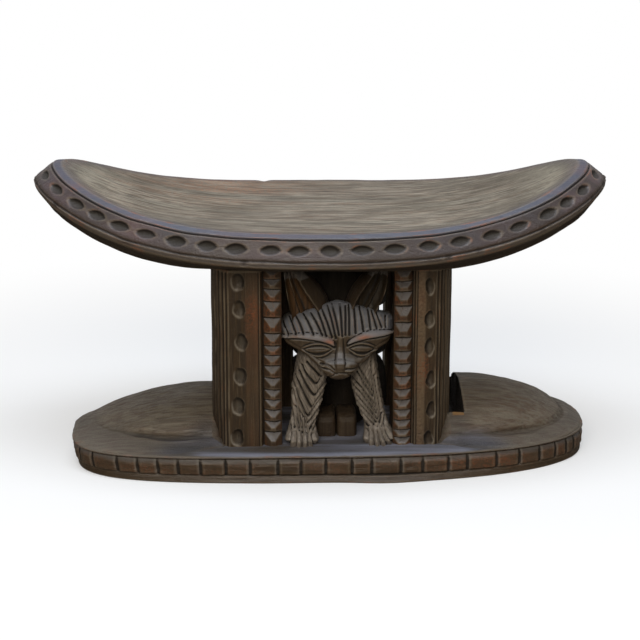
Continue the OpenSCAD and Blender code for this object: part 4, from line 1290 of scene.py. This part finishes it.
class STOOL_OT_body(bpy.types.Operator):
    """Carve the cat's back, haunches and hind paws behind the forelegs"""
    bl_idname = "stool.body"
    bl_label = "Body"

    def execute(self, context):
        s = context.scene.stool_cat
        x = s.x + BODY_SHIFT
        finish_piece(body_skin("carved_torso", x, TORSO, 131, 1.5, 260, 230),
                     ["torso"], "Inner wood", 8)
        tail = np.array(curve(np.array(TAIL) + (x, 0, 0), 10))
        run = run_of(tail) / run_of(tail)[-1]
        along = np.linspace(0, 1, 90)
        spine = np.stack([np.interp(along, run, tail[:, k]) for k in range(3)], -1)
        forward = np.gradient(spine, axis=0)
        forward /= np.linalg.norm(forward, axis=-1, keepdims=True)
        across = np.cross(forward, (0, 1.0, 0))
        across /= np.linalg.norm(across, axis=-1, keepdims=True)
        lift = np.cross(across, forward)
        turn = np.linspace(0, math.tau, 49)[None, :, None]
        girth = TAIL_HALF * (1 - along ** 3 * 0.6) * np.sqrt(np.clip(1 - along ** 12, 0.01, 1))
        p = spine[:, None] + girth[:, None, None] * (
            np.cos(turn) * across[:, None] - np.sin(turn) * lift[:, None])
        p = push(p, -0.8 * vee(np.abs(along[:, None] * 130 % 7 - 3.5), 1.3))
        finish_piece(skin("carved_tail", askew(capped(p)), {"back": 1.0}),
                     [], "Inner wood", 6)
        for name, mid, seed in (("left_haunch", x + LEFT_HAUNCH, 140),
                                ("right_haunch", x + RIGHT_HAUNCH, 142)):
            finish_piece(body_skin("carved_" + name, mid, HAUNCH, seed, 1.2, 120, 90),
                         [name], "Inner wood", 6)
        for name, mid, seed in (("left_hind_paw", s.x - PAW_REACH, 150),
                                ("right_hind_paw", s.x + PAW_REACH, 152)):
            finish_piece(body_skin("carved_" + name, mid, HIND_PAW, seed, 0.9, 150, 60, 5.0),
                         [name], "Paw wood", 6)
        return {"FINISHED"}


# Woods

def group_tree(name, inputs, outputs):
    """A shader node group with named sockets"""
    tree = bpy.data.node_groups.new(name, "ShaderNodeTree")
    for key, kind, default in inputs:
        socket = tree.interface.new_socket(name=key, in_out="INPUT", socket_type=kind)
        if default is not None:
            socket.default_value = default
    for key, kind in outputs:
        tree.interface.new_socket(name=key, in_out="OUTPUT", socket_type=kind)
    return tree, tree.nodes.new("NodeGroupInput"), tree.nodes.new("NodeGroupOutput")


def join(tree, value, socket):
    """Links another node's output to a socket, or sets it to a plain value"""
    if isinstance(value, bpy.types.NodeSocket):
        tree.links.new(value, socket)
    else:
        socket.default_value = value


def math_node(tree, kind, a, b, clamp=False):
    """One sum of two values"""
    node = tree.nodes.new("ShaderNodeMath")
    node.operation, node.use_clamp = kind, clamp
    join(tree, a, node.inputs[0])
    join(tree, b, node.inputs[1])
    return node.outputs[0]


def mix_node(tree, kind, fac, a, b):
    """Goes from a to b as fac goes from 0 to 1"""
    node = tree.nodes.new("ShaderNodeMix")
    node.data_type = kind
    for key, value in (("Factor", fac), ("A", a), ("B", b)):
        join(tree, value, node.inputs[key])
    return node.outputs["Result"]


def ramp(tree, value, low, high):
    """A value spread from 0 at low to 1 at high"""
    node = tree.nodes.new("ShaderNodeMapRange")
    node.interpolation_type = "SMOOTHSTEP"
    for key, given in (("Value", value), ("From Min", low), ("From Max", high)):
        join(tree, given, node.inputs[key])
    return node.outputs[0]


def noise(tree, vector, scale, stretch, detail, rough, warp=0.0):
    """Noise that is drawn out along the axes whose stretch is small"""
    mapping = tree.nodes.new("ShaderNodeMapping")
    mapping.inputs["Scale"].default_value = stretch
    tree.links.new(vector, mapping.inputs["Vector"])
    node = tree.nodes.new("ShaderNodeTexNoise")
    for key, value in (("Vector", mapping.outputs[0]), ("Scale", scale), ("Detail", detail),
                       ("Roughness", rough), ("Distortion", warp)):
        join(tree, value, node.inputs[key])
    return node.outputs["Fac"]


def grain_group(name, along, rise=1.0, run=0.07):
    """Streaks, pores and slow tones of a wood whose grain runs along one axis"""
    tree, start, end = group_tree(name, [("Vector", "NodeSocketVector", None)],
                                  [(key, "NodeSocketFloat")
                                   for key in ("Streak", "Pores", "Tone", "Patch")])
    keep, long = (tuple(reach if k == along else rise if k == 2 else 1.0 for k in range(3))
                  for reach in (run, run / 2))
    for key, low, high, *settings in (
            ("Streak", 0.38, 0.62, 320, keep, 4, 0.65, 0.3),
            ("Pores", 0.56, 0.72, 900, long, 2, 0.5),
            ("Tone", 0.3, 0.7, 60, keep, 3, 0.55, 0.4),
            ("Patch", 0.3, 0.7, 14, (0.6, 1, 1), 3, 0.6, 0.6)):
        fleck = noise(tree, start.outputs["Vector"], *settings)
        tree.links.new(ramp(tree, fleck, low, high), end.inputs[key])


def wear_group():
    """Masks for worn edges with painted highlights, and for grimy hollows with painted shade, from
    the carving's relief
    """
    tree, start, end = group_tree("Carving wear", [
        ("Vector", "NodeSocketVector", None), ("Hollow", "NodeSocketFloat", 0.0),
        ("Edge", "NodeSocketFloat", 0.0), ("Wear", "NodeSocketFloat", 0.5)],
        [(key, "NodeSocketFloat") for key in ("Grime", "Rubbed", "Bare", "Speck")])
    v = start.outputs["Vector"]
    blot = noise(tree, v, 45, (1, 1, 1), 4, 0.6)
    fine = noise(tree, v, 420, (1, 1, 1), 3, 0.6)
    edge = math_node(tree, "MULTIPLY", start.outputs["Edge"],
                     math_node(tree, "ADD", 0.5, math_node(tree, "MULTIPLY", fine, 0.9)))
    # The hollows' mask darkens them: partly grime, partly painted shade where the carving lies in
    # shadow
    tree.links.new(ramp(tree, start.outputs["Hollow"], 0.02, 0.4), end.inputs["Grime"])
    # The raised edges are lightened: partly rubbed wear, partly painted highlight
    tree.links.new(ramp(tree, edge, 0.1, 0.75), end.inputs["Rubbed"])
    bare = math_node(tree, "MULTIPLY", ramp(tree, edge, 0.16, 0.7), ramp(tree, blot, 0.52, 0.66))
    tree.links.new(math_node(tree, "MULTIPLY", bare, start.outputs["Wear"], True),
                   end.inputs["Bare"])
    tree.links.new(ramp(tree, fine, 0.35, 0.65), end.inputs["Speck"])


# Each wood: its grain, roughness, wear, bump and shine, the mask where it is duller, then its
# coats from the first up. A coat has a colour, the words that say where it shows, which are
# multiplied and turned round by a dash, and its strength. A word is a mask of the carving,
# an output of the grain or the wear, or Upward for what faces up.
# The wear's grime is partly painted shade in the hollows, and its rubbed edges are partly painted
# highlights on the ridges
WOODS = (
    ("Seat wood", "Grain of the seat", 0.42, 0.7, 0.5, 0.45, "under", (
        ("body", "", 1),
        ("dark", "Streak", 0.35),
        ((0.146, 0.12, 0.0864), "top", 0.95),
        ((0.072, 0.0588, 0.0408), "top Streak", 0.62),
        ((0.102, 0.0864, 0.0636), "top Tone", 0.4),
        ((0.324, 0.3, 0.228), "ends", 0.5),
        ((0.348, 0.314, 0.246), "top -Streak Patch", 0.7),
        ((0.324, 0.138, 0.0624), "top Patch Tone Speck", 0.28),
        ((0.3, 0.132, 0.06), "ruddy Tone Speck", 0.7),
        ((0.06, 0.048, 0.036), "top Speck Streak", 0.35),
        ("dark", "top Pores", 0.75),
        # Painted sheen: the rim strip and the band are tinted cool, as the overhead light's
        # reflection
        ((0.06, 0.0672, 0.096), "strip", 0.9),
        ((0.0552, 0.0456, 0.0468), "band -strip", 0.75),
        ("painted_sheen", "band Tone", 0.35),
        ("red", "band Patch Tone", 0.25),
        ((0.034, 0.02, 0.011), "low_band", 0.8),
        ((0.028, 0.025, 0.02), "pit", 0.9),
        ((0.204, 0.186, 0.18), "lip", 0.3),
        # Painted shade: the underside darkened
        ((0.024, 0.0132, 0.0048), "under", 0.92),
        ("dark", "Grime -top -pit", 0.97),
        # Painted shade along the pits' upper edges
        ((0.0096, 0.0072, 0.0048), "pit_edge", 0.95),
        ("grey", "Rubbed -top -pit", 0.27),
        ("red", "Bare", 0.6))),
    ("Base wood", "Grain lengthwise", 0.42, 0.8, 0.5, 0.45, "", (
        ((0.0624, 0.0396, 0.0216), "", 1),
        ("dark", "Streak", 0.3),
        ((0.072, 0.06, 0.0468), "deck", 0.8),
        ((0.0288, 0.0264, 0.0264), "deck Tone", 0.65),
        # Painted sheen: cool patches on the deck
        ((0.12, 0.126, 0.15), "deck Patch -end", 0.55),
        ((0.0936, 0.0768, 0.0564), "end", 0.7),
        ((0.276, 0.288, 0.36), "lit Tone", 0.9),
        ((0.11, 0.068, 0.04), "brick Patch", 0.45),
        # Painted highlight on the bricks' top bevels
        ((0.168, 0.166, 0.168), "bevel", 0.75),
        ((0.36, 0.102, 0.036), "brick Patch Tone Speck", 0.32),
        ((0.264, 0.246, 0.222), "glint", 0.5),
        ("grey", "Rubbed", 0.25),
        ("red", "Bare", 0.45),
        ("dark", "Grime", 0.9),
        ((0.0096, 0.0072, 0.0048), "joint", 0.95))),
    ("Mound wood", "Grain lengthwise", 0.46, 0.6, 0.8, 0.45, "", (
        ((0.154, 0.125, 0.0864), "", 1),
        ((0.042, 0.03, 0.0204), "Streak", 0.55),
        ((0.216, 0.188, 0.142), "Tone Patch", 0.65),
        ((0.054, 0.048, 0.0456), "skirt", 0.6),
        # Painted sheen: cool patches on the skirt
        ((0.24, 0.252, 0.336), "skirt Patch Tone", 0.85),
        ((0.144, 0.06, 0.036), "-skirt Patch Streak", 0.3),
        ("dark", "Pores", 0.5),
        ((0.03, 0.026, 0.023), "shade", 0.8),
        ("dark", "Grime", 0.3),
        ("grey", "Rubbed", 0.3),
        ("red", "Bare", 0.3),
        ((0.06, 0.052, 0.044), "ring", 0.4),
        # Painted shade: darker by the foot of the posts' front corners
        ((0.04, 0.036, 0.036), "corner", 0.5),
        ((0.03, 0.03, 0.035), "slate", 0.7),
        # Painted shade: the slot's walls near black
        ((0.0072, 0.0048, 0.0036), "slot", 0.97),
        # Painted highlight: the sill's lit top
        ((0.336, 0.168, 0.042), "sill", 0.6))),
    ("Post wood", "Grain upright", 0.42, 0.9, 0.5, 0.35, "", (
        ("body", "", 1),
        ("dark", "Streak", 0.5),
        ((0.144, 0.108, 0.0696), "Pores", 0.45),
        ((0.102, 0.0672, 0.0372), "strip Tone", 0.55),
        ((0.18, 0.134, 0.084), "scored", 0.7),
        ((0.024, 0.0156, 0.0096), "scored Speck Patch", 0.6),
        ("red", "strip Patch Tone", 0.2),
        ((0.06, 0.0372, 0.0228), "rail", 0.5),
        ((0.288, 0.084, 0.0264), "rail Patch Tone Speck", 0.6),
        ((0.204, 0.166, 0.114), "lines", 0.7),
        ((0.144, 0.13, 0.102), "dimple Tone", 0.7),
        ("red", "worn Speck", 0.6),
        # Painted highlight on the dimples' lower outer rims
        ((0.24, 0.21, 0.168), "dimple_lit", 0.7),
        ("dark", "Grime", 0.95),
        # Painted shade on the dimples' inner upper sides
        ((0.0084, 0.006, 0.0036), "dimple_dark", 0.8),
        # Painted highlight on the rail's up-facing facets
        ((0.186, 0.18, 0.186), "facet", 0.85),
        ((0.072, 0.054, 0.0384), "facet Tone", 0.5),
        ("grey", "Rubbed", 0.4),
        ("red", "Bare", 0.45))),
    ("Cat wood", "Grain upright", 0.4, 0.4, 0.4, 0.4, "", (
        ((0.0792, 0.0552, 0.0336), "", 1),
        ("dark", "Streak", 0.3),
        # Painted highlight: surfaces that face up are lightened
        ((0.168, 0.156, 0.144), "Upward", 0.65),
        ((0.312, 0.27, 0.228), "limb", 0.72),
        ((0.06, 0.048, 0.036), "limb Streak", 0.55),
        # Painted sheen: the hair is tinted a cool grey
        ((0.18, 0.198, 0.24), "hair_zone", 0.65),
        ((0.0432, 0.0276, 0.0144), "ear", 0.9),
        ((0.102, 0.0516, 0.0204), "cup", 0.8),
        ((0.0264, 0.0192, 0.0108), "dark_cup", 0.8),
        # Painted highlight: the bevelled ear tips
        ((0.24, 0.228, 0.222), "tip", 0.7),
        # Painted sheen: the brows, the nose and the facets beside it in cool greys
        ((0.312, 0.306, 0.342), "brow", 0.7),
        ((0.24, 0.246, 0.276), "nose", 0.7),
        ((0.192, 0.198, 0.216), "facet", 0.7),
        ((0.432, 0.126, 0.036), "worn", 0.7),
        ((0.0084, 0.006, 0.0036), "Grime", 0.97),
        ("grey", "Rubbed", 0.45),
        ("red", "Bare", 0.7))),
    ("Paw wood", "Grain upright", 0.5, 0.4, 0.6, 0.3, "", (
        ((0.0432, 0.0264, 0.0144), "", 1),
        ((0.09, 0.066, 0.0408), "Streak", 0.5),
        ("dark", "Tone", 0.5),
        ("dark", "Grime", 0.9))),
    ("Inner wood", "Grain upright", 0.55, 0.3, 0.5, 0.3, "", (
        # Painted shade: near black all over, for the unlit inside of the log; the back is lighter
        ((0.0168, 0.012, 0.0072), "", 1),
        ((0.072, 0.048, 0.0264), "back", 0.9),
        ((0.0096, 0.006, 0.0036), "Streak", 0.6),
        ("dark", "Grime", 0.9),
        ("body", "Rubbed", 0.6))))


class Wood:
    """Builds one wood material coat by coat"""

    def __init__(self, name, grain, rough, wear, bump):
        material = bpy.data.materials.new(name)
        material.use_nodes = True
        self.tree = tree = material.node_tree
        place = tree.nodes.new("ShaderNodeTexCoord").outputs["Object"]
        self.grain, self.wear = (tree.nodes.new("ShaderNodeGroup") for _ in range(2))
        for node, group in ((self.grain, grain), (self.wear, "Carving wear")):
            node.node_tree = bpy.data.node_groups[group]
            tree.links.new(place, node.inputs["Vector"])
        self.wear.inputs["Wear"].default_value = wear
        for key in ("Hollow", "Edge"):
            tree.links.new(self.mask(key.lower()), self.wear.inputs[key])
        self.rough, self.bump = rough, bump
        self.colour = None

    def mask(self, name):
        """A value that the carving stored"""
        node = self.tree.nodes.new("ShaderNodeAttribute")
        node.attribute_name = name
        return node.outputs["Fac"]

    def facing_up(self):
        """1 where the surface faces up"""
        node = self.tree.nodes.new("ShaderNodeNewGeometry")
        split = self.tree.nodes.new("ShaderNodeSeparateXYZ")
        self.tree.links.new(node.outputs["Normal"], split.inputs[0])
        return ramp(self.tree, split.outputs["Z"], 0.05, 0.6)

    def place_of(self, words):
        """Where a coat shows"""
        out = None
        for word in words.split():
            name = word.lstrip("-")
            if name == "Upward":
                part = self.facing_up()
            elif name in self.grain.outputs:
                part = self.grain.outputs[name]
            elif name in self.wear.outputs:
                part = self.wear.outputs[name]
            else:
                part = self.mask(name)
            if word != name:
                part = math_node(self.tree, "SUBTRACT", 1.0, part, True)
            out = part if out is None else math_node(self.tree, "MULTIPLY", out, part, True)
        return out

    def coat(self, tint, words, strength):
        """Lays a colour over what is there"""
        if self.colour is None:
            self.colour = (*tint, 1)
            return
        fac = math_node(self.tree, "MULTIPLY", self.place_of(words), strength, True)
        self.colour = mix_node(self.tree, "RGBA", fac, self.colour, (*tint, 1))

    def finish(self, shine, dull):
        """Sets the roughness, the shine and the fine relief of the grain"""
        tree, grain, wear = self.tree, self.grain.outputs, self.wear.outputs

        def add(a, b, share, clamp=False):
            """Adds a share of b to a"""
            return math_node(tree, "ADD", a, math_node(tree, "MULTIPLY", b, share), clamp)

        rough = add(add(self.rough, grain["Streak"], 0.14), wear["Grime"], 0.25, True)
        if dull:
            rough = add(rough, self.mask(dull), 0.4, True)
        height = add(math_node(tree, "MULTIPLY", grain["Streak"], 0.6), wear["Speck"], 0.5)
        height = math_node(tree, "SUBTRACT", height,
                           math_node(tree, "MULTIPLY", grain["Pores"], 0.8))
        bump = tree.nodes.new("ShaderNodeBump")
        bump.inputs["Strength"].default_value = self.bump
        bump.inputs["Distance"].default_value = 0.0005
        tree.links.new(height, bump.inputs["Height"])
        shader = tree.nodes["Principled BSDF"]
        for key, value in (("Base Color", self.colour), ("Roughness", rough),
                           ("Normal", bump.outputs[0]), ("Specular IOR Level", shine)):
            join(tree, value, shader.inputs[key])


class STOOL_OT_woods(bpy.types.Operator):
    """Mix the stained, waxed and worn woods"""
    bl_idname = "stool.woods"
    bl_label = "Woods"

    def execute(self, context):
        looks = context.scene.stool_woods
        grain_group("Grain lengthwise", 0)
        grain_group("Grain of the seat", 0, 0.3, 0.08)
        grain_group("Grain upright", 2)
        wear_group()
        for name, grain, rough, wear, bump, shine, dull, coats in WOODS:
            wood = Wood(name, grain, rough, wear, bump)
            for tint, words, strength in coats:
                wood.coat(getattr(looks, tint) if isinstance(tint, str) else tint, words, strength)
            wood.finish(shine, dull)
        return {"FINISHED"}


# Studio

# Each lamp: the setting that holds its power, its place, width and height, and tint
LAMPS = (("overhead", (0.0, -0.35, 1.7), (1.5, 0.9), (0.86, 0.92, 1.0)),
         ("front", (-0.25, -2.0, 1.25), (1.3, 1.0), (1.0, 0.92, 0.8)))
LAMP_AIM = (0, 0, 0.15)
SENSOR = 36
# Where the floor begins and ends to fade into the white, in metres from the stool
SWEEP = (0.3, 0.85)


def softbox(name, place, aim, size, power, tint):
    """A rectangular lamp that looks at a point"""
    light = bpy.data.lights.new(name, "AREA")
    light.shape, light.size, light.size_y = "RECTANGLE", size[0], size[1]
    light.energy, light.color = power, tint
    lamp = bpy.data.objects.new(name, light)
    lamp.location = place
    d = [a - b for a, b in zip(aim, place)]
    flat = math.hypot(d[0], d[1])
    lamp.rotation_euler = (math.atan2(flat, -d[2]), 0, math.atan2(-d[0], d[1]))
    bpy.context.scene.collection.objects.link(lamp)


class STOOL_OT_studio(bpy.types.Operator):
    """Set up the floor, backdrop, lights and camera"""
    bl_idname = "stool.studio"
    bl_label = "Studio"

    def execute(self, context):
        scene = context.scene
        s = scene.stool_studio
        bm = bmesh.new()
        bmesh.ops.create_grid(bm, x_segments=1, y_segments=1, size=6)
        mesh = bpy.data.meshes.new("floor")
        bm.to_mesh(mesh)
        bm.free()
        floor = bpy.data.objects.new("floor", mesh)
        scene.collection.objects.link(floor)
        mesh.materials.append(self.floor_material())
        self.room(s)
        for key, place, size, tint in LAMPS:
            softbox(key + " softbox", place, LAMP_AIM, size, getattr(s, key), tint)
        camera = bpy.data.cameras.new("camera")
        camera.sensor_width, camera.lens = SENSOR, s.focal
        rig = bpy.data.objects.new("camera", camera)
        rig.location = (0, -s.camera_y, s.camera_z)
        rig.rotation_euler = (math.pi / 2 - s.pitch, 0, 0)
        scene.collection.objects.link(rig)
        scene.camera = rig
        scene.view_settings.view_transform = "Standard"
        return {"FINISHED"}

    def floor_material(self):
        """Pale to the eye with its shadow kept, darker to the light it throws back"""
        material = bpy.data.materials.new("White sweep")
        material.use_nodes = True
        tree = material.node_tree
        shader = tree.nodes["Principled BSDF"]
        path = tree.nodes.new("ShaderNodeLightPath")
        seen = path.outputs["Is Camera Ray"]
        far = tree.nodes.new("ShaderNodeVectorMath")
        far.operation = "LENGTH"
        tree.links.new(tree.nodes.new("ShaderNodeTexCoord").outputs["Object"], far.inputs[0])
        away = ramp(tree, far.outputs["Value"], *SWEEP)
        near = math_node(tree, "SUBTRACT", 1.0, away)
        fade = mix_node(tree, "RGBA", away, (0.58, 0.58, 0.58, 1), (0, 0, 0, 1))
        tone = mix_node(tree, "RGBA", seen, (0.24, 0.205, 0.16, 1), fade)
        tree.links.new(tone, shader.inputs["Base Color"])
        shader.inputs["Roughness"].default_value = 1.0
        shader.inputs["Specular IOR Level"].default_value = 0.0
        glow = math_node(tree, "ADD", away, math_node(tree, "MULTIPLY", near, 0.35))
        glow = math_node(tree, "MULTIPLY", seen, glow)
        shader.inputs["Emission Color"].default_value = (1, 1, 1, 1)
        tree.links.new(glow, shader.inputs["Emission Strength"])
        return material

    def room(self, s):
        """White to the eye, and a soft light from behind and above"""
        world = bpy.data.worlds.new("studio")
        bpy.context.scene.world = world
        world.use_nodes = True
        tree = world.node_tree
        back = tree.nodes["Background"]
        path = tree.nodes.new("ShaderNodeLightPath")
        seen = math_node(tree, "MAXIMUM", path.outputs["Is Camera Ray"],
                         path.outputs["Is Transmission Ray"])
        # The white backdrop stands behind; the room in front is dim
        split = tree.nodes.new("ShaderNodeSeparateXYZ")
        tree.links.new(tree.nodes.new("ShaderNodeTexCoord").outputs["Generated"], split.inputs[0])
        depth = ramp(tree, split.outputs["Y"], -0.3, 0.8)
        dim = math_node(tree, "MULTIPLY", math_node(tree, "ADD", 0.18, depth), s.sky)
        tree.links.new(mix_node(tree, "FLOAT", seen, dim, 1.0), back.inputs["Strength"])
        back.inputs["Color"].default_value = (1, 1, 1, 1)


# Panel and run

PIECES = ("woods", "seat", "base", "mounds", "posts", "head", "legs", "body", "studio")


class STOOL_PT_panel(bpy.types.Panel):
    """Lists the stool's pieces"""
    bl_idname = "STOOL_PT_panel"
    bl_label = "Carved stool"
    bl_space_type = "VIEW_3D"
    bl_region_type = "UI"
    bl_category = "Stool"

    def draw(self, context):
        """A button for each piece"""
        for key in PIECES:
            self.layout.operator("stool." + key)


GROUPS = (("stool_seat", StoolSeatSizes), ("stool_base", StoolBaseSizes),
          ("stool_posts", StoolPostSizes), ("stool_cat", StoolCatSizes),
          ("stool_woods", StoolWoodLook), ("stool_studio", StoolStudio))
CLASSES = tuple(group for _, group in GROUPS) + (
    STOOL_OT_woods, STOOL_OT_seat, STOOL_OT_base, STOOL_OT_mounds, STOOL_OT_posts, STOOL_OT_head,
    STOOL_OT_legs, STOOL_OT_body, STOOL_OT_studio, STOOL_PT_panel)


def register():
    """Makes the settings, operators and panel known to Blender"""
    for cls in CLASSES:
        bpy.utils.register_class(cls)
    for key, group in GROUPS:
        setattr(bpy.types.Scene, key, PointerProperty(type=group))


def unregister():
    """Takes them away again"""
    for key, _ in GROUPS:
        delattr(bpy.types.Scene, key)
    for cls in reversed(CLASSES):
        bpy.utils.unregister_class(cls)


def main():
    """Carves every piece"""
    register()
    for key in PIECES:
        getattr(bpy.ops.stool, key)()


if __name__ == "__main__":
    main()
